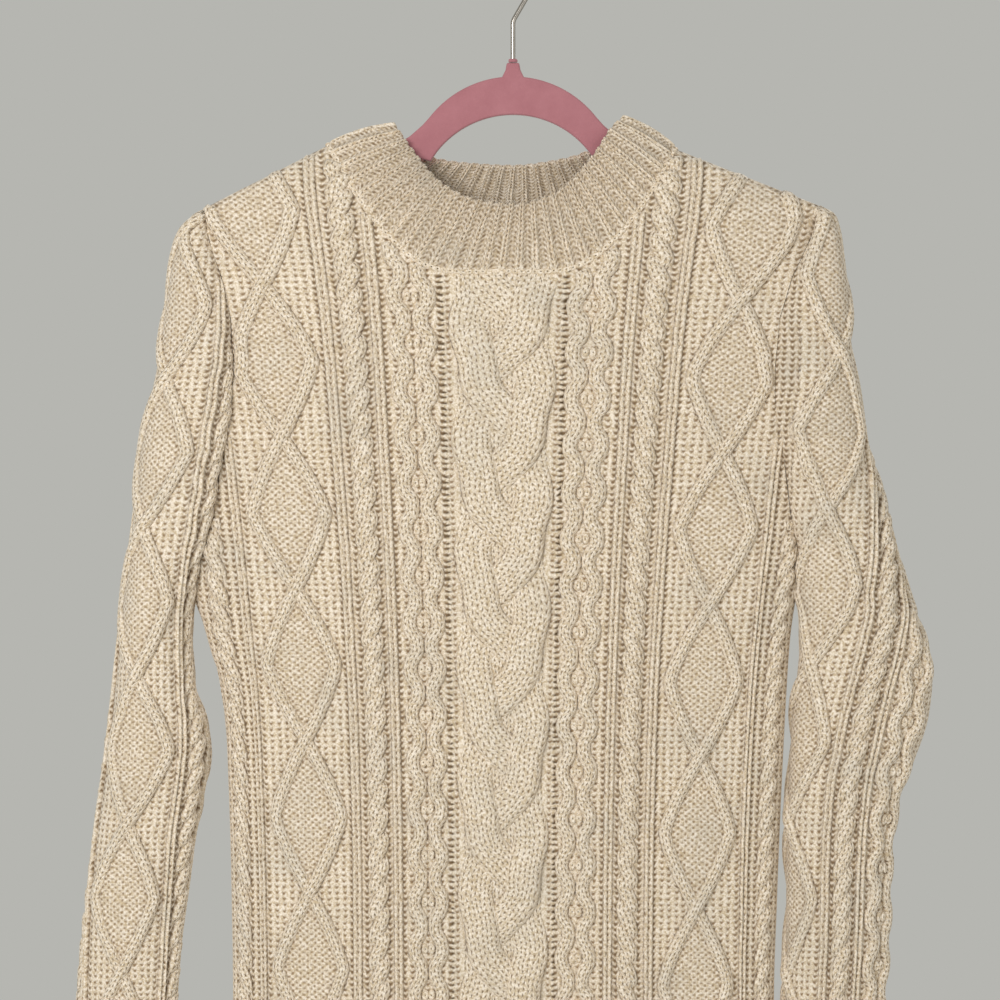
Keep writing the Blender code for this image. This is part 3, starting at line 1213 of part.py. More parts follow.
def main():
    wool = material("oatmeal_wool", WOOL, 0.9)
    flock = material("pink_flock", FLOCK, 0.95)
    steel = material("polished_steel", STEEL, 0.25, 1.0)
    front, back = Body(FRONT), Body(BACK)
    front_neck = make_panel("front", front, wool)
    back_neck = make_panel("back", back, wool)
    for name, side in (("sleeve_left", LEFT), ("sleeve_right", RIGHT)):
        make_sleeve(name, side, Sleeve(side, front, back), wool)
    make_collar("collar", Collar(front, back, front_neck, back_neck), wool)
    make_hanger("hanger_body", flock)
    make_hook("hanger_hook", steel)


main()
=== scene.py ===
"""Looks of a cable-knit sweater dress that hangs flat on a slim flocked hanger.

The cloth pieces are thin knitted shells on the forms of the frame's solids, and the
cables are strands laid over them. Sizes inside the forms are millimetres: "across"
counts stitches out from a piece's middle and "rise" counts rows up from its lower edge,
both as the millimetres that they would measure lying flat. "drop" is how far a point is
below the high shoulder point.
"""
import math
from collections import namedtuple

import bmesh
import bpy
import numpy as np
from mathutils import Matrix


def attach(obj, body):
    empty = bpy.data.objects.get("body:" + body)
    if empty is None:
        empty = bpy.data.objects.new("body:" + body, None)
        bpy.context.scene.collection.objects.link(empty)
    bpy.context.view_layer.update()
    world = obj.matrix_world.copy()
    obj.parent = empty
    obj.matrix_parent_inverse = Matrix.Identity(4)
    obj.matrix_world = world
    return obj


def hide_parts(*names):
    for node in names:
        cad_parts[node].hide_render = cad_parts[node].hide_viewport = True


bl_info = {
    "name": "Cable-Knit Sweater Dress",
    "version": (1, 0, 0),
    "blender": (4, 5, 0),
    "location": "3D View > Sidebar > Dress",
    "description": "Knits a cabled sweater dress and its hanger round the loaded frame",
    "category": "Add Mesh",
}

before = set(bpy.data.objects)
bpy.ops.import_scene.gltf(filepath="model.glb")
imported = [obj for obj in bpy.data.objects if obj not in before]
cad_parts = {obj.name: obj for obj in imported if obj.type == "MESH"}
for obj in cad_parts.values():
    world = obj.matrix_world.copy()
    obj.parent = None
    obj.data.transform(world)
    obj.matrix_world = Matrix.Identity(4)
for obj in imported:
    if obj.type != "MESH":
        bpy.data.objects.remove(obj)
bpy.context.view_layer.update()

MM = 0.001
LEFT, RIGHT = -1, 1
FRONT, BACK = -1, 1

# Garment, in the frame's place
SHOULDER_Z = -124.6       # high shoulder point, below the hook's bearing point
CENTRE_X = -7.0
LENGTH = 870.0
WALL = 3.0
SEAM_GAP = 0.35
CORNER_GAP = 0.45
HEM_RIB = 56.0
SLEEVE_RIB = 56.0
RIB_HEIGHT = 2.2
SECTION_POWER = 2.5       # 2 gives an elliptical section, and more a squarer one
SLEEVE_POWER = 2.2
SECTION_POINTS = 121      # points from which a section's length is measured
BODY_COLUMNS_A_SIDE = 81  # grid columns from the body's middle to one side
SLEEVE_COLUMNS_A_FACE = 61
SLEEVE_ROWS = 212
GRID_STEP = 3.0
UNDERARM = 330.0
CHEST = 206.0             # drop at which the side starts to make room for its columns
CHEST_OVER = 36.0         # height over which it does so
LIMIT_OVER = 34.0         # height over which the armhole comes to limit the diamonds
SIDE_LINE = 174.0         # place across where the diamonds end and the side's columns start
SIDE_EDGE = 219.0
STRAIGHT_TOP = LENGTH - 140.0   # the panels' rows are level up to here
UPPER_HEIGHT = 130.0      # height that the bent rows above it are counted for
SLOPE_SHARE = 0.8         # the nearest way to a sloping shoulder, as a share of the way up
WAVE_FADE = 25.0          # distance from an edge over which the waves grow
HEM_FADE = 40.0           # and above the hem's rib
FOLD_FADE = 14.0
PANEL_EDGE_FADE = 4.0     # distance from an edge over which the moss rises
SLEEVE_EDGE_FADE = 10.0
FOLD_FRONT = -4.0         # the folds show where Y is less than this

Shoulder = namedtuple("Shoulder", "neck_drop neck_width tip_drop tip_width")
SHOULDERS = {
    LEFT: Shoulder(16.0, 119.0, 61.6, 208.6),
    RIGHT: Shoulder(21.0, 122.0, 60.2, 221.9),
}

Side = namedtuple("Side", "drop width")
SIDES = {
    LEFT: (
        Side(61.6, 208.6), Side(98, 217), Side(142, 221), Side(212, 222), Side(282, 220),
        Side(330, 217), Side(352, 210), Side(374, 203.7), Side(391, 198), Side(417, 194.6),
        Side(441, 193), Side(541, 190), Side(616, 189), Side(740, 195), Side(815, 196),
        Side(870, 190),
    ),
    RIGHT: (
        Side(60.2, 221.9), Side(98, 224), Side(142, 224), Side(212, 222), Side(282, 216),
        Side(330, 205.8), Side(364, 200.9), Side(406, 198.1), Side(476, 194.6),
        Side(546, 191.8), Side(616, 189.7), Side(740, 195), Side(815, 196), Side(870, 190),
    ),
}

Depth = namedtuple("Depth", "drop front back spread")
DEPTHS = (
    Depth(15, 13, 12, 1.27), Depth(56, 19, 17, 1.24), Depth(112, 24, 20, 1.17),
    Depth(160, 26, 21, 1.12), Depth(212, 26.5, 22, 1.08), Depth(332, 27, 22, 1.0),
    Depth(437, 25.5, 21, 0.955), Depth(537, 24.5, 20, 0.935), Depth(616, 24, 20, 0.93),
    Depth(730, 25, 20, 0.95), Depth(815, 25.5, 21, 0.955), Depth(870, 25, 21, 0.93),
)

Neck = namedtuple("Neck", "across front back")
NECKLINE = (
    Neck(0, 107.5, 62), Neck(20, 108, 61.5), Neck(40, 107, 60), Neck(58, 101, 56),
    Neck(80, 82.5, 48), Neck(100, 57, 37), Neck(112, 36, 28), Neck(125, 14, 17),
)

Node = namedtuple("Node", "drop inset")
ARMHOLE = (
    Node(UNDERARM, 0), Node(304, 13), Node(277, 24), Node(242, 34), Node(206, 40),
    Node(172, 41), Node(140, 38), Node(110, 28), Node(84, 14),
)

Edge = namedtuple("Edge", "drop across")
SLEEVE_OUTER = {
    LEFT: (
        Edge(61.6, 208.6), Edge(72.8, 217.7), Edge(88.9, 228.2), Edge(115.5, 234.5),
        Edge(154, 240.1), Edge(196, 248.5), Edge(266, 259), Edge(364, 269.5),
        Edge(439.6, 277.9), Edge(500.5, 286.3), Edge(588.7, 294.7), Edge(640, 297.5),
        Edge(693, 298.9),
    ),
    RIGHT: (
        Edge(60.2, 221.9), Edge(69.5, 230.4), Edge(91.7, 237), Edge(115, 241.5),
        Edge(146.3, 244.5), Edge(180, 249.2), Edge(224, 254.5), Edge(268, 267),
        Edge(328, 283), Edge(369, 297.2), Edge(391, 302.5), Edge(416, 300),
        Edge(453, 288), Edge(484, 276.5), Edge(515, 272.3), Edge(572.6, 271),
        Edge(616, 268.1), Edge(693, 266),
    ),
}
SLEEVE_INNER = {
    LEFT: (
        Edge(330, 217), Edge(345, 219.5), Edge(370, 218.5), Edge(399, 215.6),
        Edge(420, 208.5), Edge(439, 205.5), Edge(476.7, 210.7), Edge(500.5, 215.6),
        Edge(537.6, 220.5), Edge(572.6, 225.4), Edge(616, 228.9), Edge(693, 234.5),
    ),
    RIGHT: (
        Edge(330, 205.8), Edge(343, 208.6), Edge(366, 206.3), Edge(402, 202.8),
        Edge(462, 199.5), Edge(511, 197.6), Edge(574, 197.4), Edge(616, 196.2),
        Edge(693, 197),
    ),
}
SLEEVE_END = 693.0
Turn = namedtuple("Turn", "drop turn depth spread")
SLEEVE_TURNS = {
    LEFT: (
        Turn(61, 25, 1, 1.0), Turn(68, 28, 8, 1.0), Turn(85, 32, 15, 1.0),
        Turn(120, 40, 21, 1.02), Turn(182, 49, 25, 1.02), Turn(286, 51, 27.5, 1.0),
        Turn(340, 60, 29, 0.95), Turn(390, 70, 28.5, 0.92), Turn(493, 73, 24.5, 0.93),
        Turn(594, 84, 23, 0.86), Turn(650, 87, 22.5, 0.8), Turn(693, 88, 21.5, 0.76),
    ),
    RIGHT: (
        Turn(60, 30, 1, 1.0), Turn(67, 32, 8, 1.0), Turn(85, 37, 15, 1.0),
        Turn(120, 44, 21, 1.02), Turn(164, 52, 25, 1.02), Turn(215, 72, 26.5, 1.0),
        Turn(270, 98, 27.5, 1.0), Turn(325, 124, 27, 1.0), Turn(384, 146, 26.5, 0.98),
        Turn(440, 162, 25.5, 0.96), Turn(491, 174, 24.5, 0.92), Turn(598, 177, 23.5, 0.86),
        Turn(650, 178, 22.5, 0.84), Turn(693, 178, 21.5, 0.8),
    ),
}
SLEEVE_MIDDLE = 40.0      # half width of the middle columns, which spread evenly
SLEEVE_ACROSS = 101.0     # half the way round, in flat stitches
SLEEVE_LIMIT = 200.0      # past the sleeve's edges, so that no diamond is cut off
EDGE_RELIEF = 2.0         # how far the sleeve's edges are drawn in, for its cables' height
OUTER_RELIEF_OVER = 60.0  # height over which that starts at the shoulder's tip
INNER_RELIEF_OVER = 40.0  # and at the underarm
RIM_SHARE = 0.97          # most of a section's depth at which the armhole's rim may lie
SPINE_SHARE = 0.93        # how far round the front the sleeve's middle may lie

# Soft folds that bunch beside the armholes
Fold = namedtuple("Fold", "across drop slope length width height")
FOLDS = {
    LEFT: (
        Fold(198, 148, 30, 17, 8, 4.0), Fold(202, 172, 10, 20, 8.5, 5.0),
        Fold(203, 200, -10, 22, 9, 5.5), Fold(205, 231, -25, 24, 9, 5.5),
        Fold(208, 262, -40, 24, 9, 4.5), Fold(212, 292, -55, 22, 8, 3.5),
    ),
    RIGHT: (
        Fold(203, 150, 35, 20, 9, 5.0), Fold(207, 178, 15, 24, 10, 6.0),
        Fold(206, 212, 0, 24, 11, 6.5), Fold(206, 246, -20, 24, 10, 5.5),
        Fold(209, 280, -40, 22, 9, 4.0),
    ),
}

# Gentle waves of the hanging front and back
Wave = namedtuple("Wave", "across rise width length height")
BODY_WAVES = (
    Wave(-168, 545, 22, 70, 2.2), Wave(165, 560, 24, 60, 2.6), Wave(-120, 470, 26, 90, -1.2),
    Wave(118, 480, 24, 80, -1.3), Wave(-60, 300, 40, 120, 1.4), Wave(72, 250, 36, 110, 1.6),
    Wave(-170, 330, 22, 90, 1.5), Wave(160, 300, 22, 80, 1.7), Wave(0, 180, 40, 90, -1.2),
    Wave(-100, 120, 34, 70, 1.6), Wave(110, 110, 30, 70, -1.3), Wave(30, 600, 30, 50, 1.0),
)

# Stitch columns: "start" is the rise of one crossing, "reach" is how far its strands
# swing, and "lean" is 1 for / and -1 for \. A ridge runs straight up and needs none of them
Column = namedtuple("Column", "kind place start pitch reach lean", defaults=(0, 0, 0, 0))
BODY_COLUMNS = (
    Column("rope", -199, 300, 18.0, 3.0, -1),
    Column("ridge", -180),
    Column("diamond", -143.5, LENGTH - 116.4, 105.5, 24.5, -1),
    Column("ridge", -108),
    Column("rope", -92, LENGTH - 295.0, 17.2, 3.1, 1),
    Column("ridge", -77.5),
    Column("chain", -55.5, LENGTH - 286.3, 32.3, 2.7),
    Column("plait", 0, LENGTH - 146.0, 78.4, 21.0),
    Column("chain", 53.5, LENGTH - 292.9, 32.3, 2.7),
    Column("ridge", 77.5),
    Column("rope", 92, LENGTH - 290.0, 17.2, 3.1, -1),
    Column("ridge", 108),
    Column("diamond", 143.5, LENGTH - 127.9, 105.5, 24.5, -1),
    Column("ridge", 180),
    Column("rope", 199, 300, 18.0, 3.0, 1),
)
SLEEVE_COLUMNS = {
    side: (
        Column("diamond", 0, start, pitch, 24.0, -1),
        *(Column("ridge", k * 34) for k in (-1, 1)),
        *(Column("rope", k * 47.5, start + 20, 17.7, 2.9, -side) for k in (-1, 1)),
        *(Column("ridge", k * 61) for k in (-1, 1)),
        *(Column("chain", k * 80.5, start + 8, 34.0, 2.7) for k in (-1, 1)),
    )
    for side, start, pitch in ((LEFT, 99.0, 103.0), (RIGHT, 95.0, 108.6))
}

# Half width and height of each kind of strand, how many stitches wide it is, the points of its
# section, how square that is, how wide and dark the shade along its own edges is, and how far
# from a seam it starts to sink
Strand = namedtuple("Strand", "half height wales points square edge dark sink")
STRANDS = {
    "ridge": Strand(3.9, 3.0, 1, 9, 2.1, 1.5, 0.8, 6),
    "rope": Strand(5.7, 4.6, 2, 8, 2.0, 1.8, 1.0, 6),
    "chain": Strand(5.3, 4.1, 2, 8, 2.0, 1.2, 0.4, 6),
    "diamond": Strand(5.1, 4.3, 2, 8, 2.1, 1.4, 0.7, 6),
    "plait": Strand(13.4, 4.4, 4, 15, 4.2, 3.8, 0.6, 26),
}
STRAND_STEP = 2.4
SUNK = 0.9                # how far a strand's edges are sunk in the ground
UNDERSIDE = 1.4           # depth of its underside, as a share of that
CROWDING = 0.92           # towards 1, a section's points lie closer together at its edges
SHADE_FULL = 0.96         # share of its half width at which the shade on its edge is full
SINK_POWER = 0.6          # below 1, a strand keeps its height until close to a seam
STRAND_CLEAR = 1.0        # how far inside an edge a strand ends
RIDGE_PROFILE = (0, 0.75, 1, 0.85, 0.3, 0.85, 1, 0.75, 0)   # two legs with a groove between

# Shade that strands cast on the ground: how dark, how far it fades, and how far in from the
# strand's edge it starts
Shade = namedtuple("Shade", "dark fade inset")
SHADES = {
    "ridge": Shade(0.6, 2.4, 0.0), "rope": Shade(0.6, 1.6, 0.5), "chain": Shade(0.6, 2.0, 0.4),
    "diamond": Shade(0.55, 1.6, 0.0),
}
RIB_SHADE = 0.75          # shade between the ribs

# A rope's lobes, with places along them in shares of its pitch
LOBE_START, LOBE_END, LOBE_POINTS = -0.38, 1.36, 17
LOBE_FADE = 0.5           # share of the pitch over which each end rises
LOBE_UNDER = (1.6, 0.6)   # how far its start and its end dip
LOBE_TIP = 0.35           # width of its ends, as a share of the whole

# Chains, diamonds and the plait
CHAIN_PLACE = 7.6         # mean place of a chain's strands beside its middle
CHAIN_SQUARE = 1.2        # how soon a ring is fully open
CHAIN_GROOVE = Shade(0.4, 0.9, 0.0)    # down the middle of a chain
CHAIN_CLEAR = 5.0         # a chain's strands shade the ground from here outwards
DIAMOND_STRAIGHT = 0.6    # share of a border's path that is straight
MOSS_FADE = 2.5
MOSS_HEIGHT = 1.2         # of the moss, and of the ground under the plait
CROSS_LIFT = 1.6          # how far the strands of a diamond rise or sink where they cross
CROSS_REACH = 7.0         # and how far from the crossing
PLAIT_LIFT = 3.2          # the same for the strands of the plait
PLAIT_BENDS = ((3, 0.12), (5, 0.10))   # waves that flatten the turns of the plait's strands
PLAIT_PHASE = 150.0       # degrees
PLAIT_GROUND = 30.0       # half width of the raised ground under the plait
PLAIT_GROUND_FADE = 5.0
PLAIT_KNIT = 31.0         # half width of the knit stitches under it
PLAIT_KNIT_FADE = 3.0
LADDER = 37.4             # place of the open ladders beside the plait
LADDER_HALF = 0.6
LADDER_FADE = 1.3

# Loops of yarn
YARN_RADIUS = 1.15
LOOPS_FROM = HEM_RIB + 6  # the lowest ring of a chain that has loops, hem and cuff alike
LOOPS_SHORT = 20.0        # they stop this far below a piece's end
LOOPS_CLEAR = 8.0         # and this far from its edges
PURL_APART = 2.3          # how far the two loops in a chain's ring are from its middle
LOOP_UNEVEN = 0.25        # how far a loop is turned at random, in radians
RING_LOOP = 1.35          # radius of the loops in the chains
RING_STRETCH = (1.5, 0.95, 1.0)
NECK_LOOP = 1.5           # radius of the loops along the neckline
NECK_PITCH = 0.8          # their spacing, in stitches
NECK_LIFT = 0.4
NECK_STRETCH = (1.3, 0.8, 0.9)

# Ribs: a knit rib, grooved down its middle, and a purl one
RIB_STEEP = 0.75          # above 0.5, a rib has a flat top and foot
RIB_GROOVE = 0.55         # depth of the groove, in heights of the rib
RIB_GROOVE_WIDTH = 0.07   # and its width, in ribs
RIB_FADE = 4.0            # height over which the rib's relief turns into the pattern's
RIB_COLOUR_FADE = 3.0     # and over which its stitches do
PANEL_RIBS = 40           # across the hem of each panel
CUFF_RIBS = 20            # round each cuff

# Inner faces of the walls
INNER_EVERY = 4           # outer rows for each row of the inner face
INNER_TOP_ROWS = 16
INNER_SHARE = 0.99        # drawn in at the sides, so that its longer faces stay inside
# Inner faces are knit, with a little painted shade
INNER_KIND = (1.0, 0, 0.3, 0)
CUT_EVERY = 6             # rows and columns passed over when a piece's cut is measured

# Collar
Rim = namedtuple("Rim", "share across drop")
COLLAR_FRONT = (
    Rim(0, -77, 3.5), Rim(0.10, -65, 21), Rim(0.27, -42, 47), Rim(0.39, -17, 58.5),
    Rim(0.52, 10, 61), Rim(0.65, 36.4, 53), Rim(0.83, 63, 27), Rim(0.945, 77, 6),
    Rim(1, 84.7, -1.4),
)
COLLAR_BACK = (
    Rim(0, -77, 3.5), Rim(0.14, -61, 22), Rim(0.32, -30, 29), Rim(0.52, 7, 31),
    Rim(0.70, 40, 27), Rim(0.83, 63, 19.6), Rim(1, 84.7, -1.4),
)
COLLAR_DEPTH = {FRONT: 17.0, BACK: 15.0}
COLLAR_BULGE = 2.5
COLLAR_RIB = 2.8
COLLAR_RIBS = {FRONT: 28, BACK: 24}
COLLAR_HEIGHT = 45.0
COLLAR_ROW = 3.3          # height of a row in the collar's tighter rib
COLLAR_SQUARE = 0.45      # below 0.5, the neck's top is squarer than an ellipse
COLLAR_PICKS = 61         # places along the neckline of each panel
COLLAR_COLUMNS = 409
COLLAR_BANDS = 12
COLLAR_OVERLAP = 0.02     # how far the collar's grid runs past both ends, in places
COLLAR_SCALLOP = 0.010    # how far the ribs stand up at the rolled edge, in shares

# Rows of the collar: share of its height, level against the outer face, and 1 for the outer
# face to -1 for the inner. These go over the rolled edge
Roll = namedtuple("Roll", "share level face")
COLLAR_ROLL = (
    Roll(1.014, -0.35, 0.9), Roll(1.03, -1.1, 0.4), Roll(1.03, -1.9, -0.4),
    Roll(1.014, -2.7, -0.9),
)

# Hanger
PLATE = 5.4               # thickness
PLATE_ROUND = 1.6
ARCH_OUTER = (-94.2, 74.0)
ARCH_INNER = (-121.1, 67.5)
ARCH_TURN = 52.0
ARM_START = 120.0
ARM_Z = -153.6
ARM_SLOPE = 0.388
ARM_END = 209.5
ARM_DEEP = 14.0
BOSS_TOP = -84.6
BOSS_HALF = 4.7
BOSS_FOOT = 7.6
BOSS_CORNER = ((-1.6, 0), (-0.4, -0.5), (0, -1.8), (0.5, -5))   # off the boss's top corner
FLARE_TOP = ((5, -5.6), (14, -13.5), (28, -22))   # off the arch's end, on the upper edge
FLARE_FOOT = ((-3, -15), (-2, -15.5))   # off the last two of those, on the lower edge
WIRE = 3.4
FERRULE = 6.4
LOOP_RADIUS = 19.0
BEND_RADIUS = 9.0
LOOP_START, LOOP_END = -30.0, 196.0   # degrees

# Camera and stage
VIEW_CENTRE = (-9.1, -390.6)
VIEW_SPAN = 700.0
CAMERA_AWAY = 2600.0
SENSOR = 36.0
FLOOR_Z = -1.16           # metres, like the lights' places
FLOOR_RADIUS = 1.7
AIM = (0, 0, -0.45)
Light = namedtuple("Light", "name place energy size")
LIGHTS = (
    Light("key", (-0.95, -1.9, 0.0), 25, 1.0),
    Light("fill", (1.9, -2.0, 0.0), 10, 2.0),
    Light("behind", (0.6, 2.3, 0.9), 45, 1.2),
)

WOOL, FLOCK, STEEL, PAPER = "aran wool yarn", "nylon flock", "nickel-plated steel", "matt paper"


def linear(code):
    """A colour from its sRGB hex code."""
    parts = [int(code[i:i + 2], 16) / 255 for i in (0, 2, 4)]
    return tuple(c / 12.92 if c <= 0.04045 else ((c + 0.055) / 1.055) ** 2.4 for c in parts)


# Reading the forms


def smooth(table, column, x):
    """Read one column of a table at x, on a curve with no overshoot through its rows."""
    xs = np.array([row[0] for row in table], float)
    ys = np.array([getattr(row, column) for row in table], float)
    step, rise = np.diff(xs), np.diff(ys)
    secant = rise / step
    slope = np.zeros(len(xs))
    same = secant[:-1] * secant[1:] > 0
    both = 2 * secant[:-1] * secant[1:]
    slope[1:-1][same] = both[same] / (secant[:-1] + secant[1:])[same]
    slope[0], slope[-1] = secant[0], secant[-1]
    at = np.clip(x, xs[0], xs[-1])
    i = np.clip(np.searchsorted(xs, at) - 1, 0, len(step) - 1)
    t = (at - xs[i]) / step[i]
    return (
        ys[i] * (1 + 2 * t) * (1 - t) ** 2
        + slope[i] * step[i] * t * (1 - t) ** 2
        + ys[i + 1] * t * t * (3 - 2 * t)
        + slope[i + 1] * step[i] * t * t * (t - 1)
    )


def unit(vectors):
    """The vectors, each at a length of 1."""
    return vectors / np.maximum(np.linalg.norm(vectors, axis=-1, keepdims=True), 1e-12)


def travelled(points):
    """How far along a path each of its points is."""
    return np.concatenate([[0], np.cumsum(np.linalg.norm(np.diff(points, axis=0), axis=1))])


class Grid:
    """A curved surface kept as rows and columns of points, with its outward normals."""

    def __init__(self, points, towards, place):
        self.points = points
        normals = unit(np.cross(np.gradient(points, axis=1), np.gradient(points, axis=0)))
        self.normals = normals if normals[place] @ np.array(towards, float) > 0 else -normals

    def at(self, row, column, height=0.0):
        """The point at a row and a column, which may lie between two, and a height above it."""
        rows, columns = self.points.shape[:2]
        row, column = np.broadcast_arrays(row, column)
        row = np.clip(row, 0, rows - 1)
        column = np.clip(column, 0, columns - 1)
        i = np.minimum(row.astype(int), rows - 2)
        j = np.minimum(column.astype(int), columns - 2)
        a, b = (row - i)[..., None], (column - j)[..., None]

        def mix(field):
            """The mean of a field's four nearest values."""
            low = field[i, j] * (1 - b) + field[i, j + 1] * b
            high = field[i + 1, j] * (1 - b) + field[i + 1, j + 1] * b
            return low * (1 - a) + high * a

        return mix(self.points) + np.asarray(height)[..., None] * unit(mix(self.normals))


def half_width(side, drop):
    """How far the body reaches to one side: along the shoulder's line, then down its side."""
    neck = SHOULDERS[side]
    slope = (neck.tip_width - neck.neck_width) / (neck.tip_drop - neck.neck_drop)
    line = neck.neck_width + (drop - neck.neck_drop) * slope
    return np.where(drop < neck.tip_drop, line, smooth(SIDES[side], "width", drop))


class Body:
    """The front or the back, read by stitch columns across and rise above the hem."""

    end = LENGTH

    def __init__(self, face):
        self.face = face
        self.drops = np.arange(DEPTHS[0].drop, LENGTH + 0.1, GRID_STEP)
        depth = smooth(DEPTHS, "front" if face == FRONT else "back", self.drops)
        self.spread = smooth(DEPTHS, "spread", self.drops)
        self.length = {}
        halves = {}
        angle = np.linspace(0, math.pi / 2, SECTION_POINTS)
        share = np.linspace(0, 1, BODY_COLUMNS_A_SIDE)
        for side in (LEFT, RIGHT):
            rows, lengths = [], []
            for width, deep in zip(half_width(side, self.drops), depth):
                x = width * np.sin(angle) ** (2 / SECTION_POWER)
                y = deep * np.cos(angle) ** (2 / SECTION_POWER)
                arc = travelled(np.stack([x, y], axis=1))
                lengths.append(arc[-1])
                even = share * arc[-1]
                rows.append(np.stack([np.interp(even, arc, x), np.interp(even, arc, y)], axis=1))
            self.length[side] = np.array(lengths)
            halves[side] = np.array(rows)
        across = np.concatenate([-halves[LEFT][:, :0:-1, 0], halves[RIGHT][:, :, 0]], axis=1)
        out = np.concatenate([halves[LEFT][:, :0:-1, 1], halves[RIGHT][:, :, 1]], axis=1)
        z = np.repeat((SHOULDER_Z - self.drops)[:, None], across.shape[1], axis=1)
        points = np.stack([CENTRE_X + across, face * (out + SEAM_GAP / 2), z], axis=2)
        self.grid = Grid(points, (0, face, 0), (len(self.drops) // 2, len(share)))
        for column in (0, -1):
            self.grid.normals[:, column, 1] = 0
        self.grid.normals = unit(self.grid.normals)
        self.columns = BODY_COLUMNS
        self.shares = np.linspace(-1, 1, 401)
        self.tops = self.top(self.shares)

    def edge(self, side, rise):
        """Nominal place of the panel's side edge, with room for all the columns."""
        drop = LENGTH - rise
        spread = np.interp(drop, self.drops, self.spread)
        even = np.interp(drop, self.drops, self.length[side]) / spread
        return even + np.maximum(SIDE_EDGE - even, 0) * np.clip((drop - CHEST) / CHEST_OVER, 0, 1)

    def armhole(self, side, rise):
        """Nominal place of the armhole's edge."""
        drop = LENGTH - rise
        nodes = (*ARMHOLE, Node(SHOULDERS[side].tip_drop, 0))
        inset = np.interp(drop, [n.drop for n in nodes[::-1]], [n.inset for n in nodes[::-1]])
        return self.edge(side, rise) - inset / np.interp(drop, self.drops, self.spread)

    def bound(self, side, rise):
        """Where the panel ends at the side: at the side seam, then at the armhole."""
        rise = np.minimum(rise, LENGTH - SHOULDERS[side].tip_drop)
        return self.armhole(side, rise)

    def limit(self, rise):
        """How far out from the middle the diamonds may reach."""
        near = np.clip((rise - (LENGTH - CHEST)) / LIMIT_OVER, 0, 1)
        rise = np.minimum(rise, LENGTH - max(s.tip_drop for s in SHOULDERS.values()))
        inner = np.minimum(self.armhole(LEFT, rise), self.armhole(RIGHT, rise))
        return SIDE_LINE + (np.minimum(inner, SIDE_LINE) - SIDE_LINE) * near - 0.5

    def at(self, across, rise, height=0.0):
        """The point at a place across and a rise, and a height above it."""
        across, rise = np.broadcast_arrays(np.asarray(across, float), np.asarray(rise, float))
        drop = LENGTH - rise
        spread = np.interp(drop, self.drops, self.spread)
        shares = {}
        for side in (LEFT, RIGHT):
            length, edge = np.interp(drop, self.drops, self.length[side]), self.edge(side, rise)
            near = np.minimum(np.abs(across), SIDE_LINE)
            room = np.where(edge > SIDE_LINE, length - SIDE_LINE * spread, 0)
            tight = room / np.maximum(edge - SIDE_LINE, 1)
            shares[side] = (near * spread + (np.abs(across) - near) * tight) / length
        column = (np.where(across < 0, -shares[LEFT], shares[RIGHT]) + 1) / 2
        column = column * (self.grid.points.shape[1] - 1)
        return self.grid.at((drop - self.drops[0]) / GRID_STEP, column, height)

    def facing(self, across, rise):
        """Points of the panel, with the way that each of them faces."""
        flat = self.at(across, rise)
        return flat, unit(self.at(across, rise, np.ones(len(rise))) - flat)

    def neckline(self, across, rise):
        """The drop of the neckline above a stitch column."""
        x = self.at(across, rise)[..., 0] - CENTRE_X
        return smooth(NECKLINE, "front" if self.face == FRONT else "back", np.abs(x))

    def inside(self, across, rise):
        """Whether a point is below the neckline and the shoulder seams."""
        edge = np.where(across < 0, self.edge(LEFT, rise), self.edge(RIGHT, rise))
        below_shoulder = np.abs(across) <= edge + 1e-6
        below_tip = LENGTH - rise > max(s.tip_drop for s in SHOULDERS.values()) + 0.5
        return (below_shoulder | below_tip) & (LENGTH - rise >= self.neckline(across, rise))

    def top(self, share):
        """The rise at which the panel ends, by share of its width."""
        low = np.full(np.shape(share), STRAIGHT_TOP)
        high = np.full(np.shape(share), LENGTH - DEPTHS[0].drop)
        for _ in range(30):
            middle = (low + high) / 2
            within = self.inside(self.spot(share, middle), middle)
            low, high = np.where(within, middle, low), np.where(within, high, middle)
        return low

    def spot(self, share, rise):
        """The place across at a share of the panel's width."""
        return share * np.where(share < 0, self.bound(LEFT, rise), self.bound(RIGHT, rise))

    def room(self, across, rise):
        """How far a point is inside the panel's edges."""
        bound = np.where(across < 0, self.bound(LEFT, rise), self.bound(RIGHT, rise))
        top = np.interp(across / bound, self.shares, self.tops)
        return np.minimum(bound - np.abs(across), SLOPE_SHARE * (top - rise))

    def lift(self, across, rise):
        """Height of the waves of the hanging cloth."""
        waves = sum(
            wave.height
            * np.exp(-((across - wave.across) / wave.width) ** 2)
            * np.exp(-((rise - wave.rise) / wave.length) ** 2)
            for wave in BODY_WAVES
        )
        return waves * np.clip(self.room(across, rise) / WAVE_FADE, 0, 1)


class Loop:
    """A closed seam: its points in order, and where the next piece's wall starts."""

    def __init__(self, points, normals, towards, closed_ends):
        ahead = np.roll(points, -1, axis=0) - points
        behind = points - np.roll(points, 1, axis=0)
        tangent = unit(unit(ahead) + unit(behind))
        for place in closed_ends:
            tangent[place] = (0, 1, 0)
        away = unit(np.cross(tangent, normals))
        away *= np.sign(np.sum(away * towards, axis=1))[:, None]
        gap = np.full((len(points), 1), SEAM_GAP)
        for place in closed_ends:
            gap[[place - 1, place, (place + 1) % len(points)]] = CORNER_GAP
        self.outer = points + away * gap
        self.normals = normals


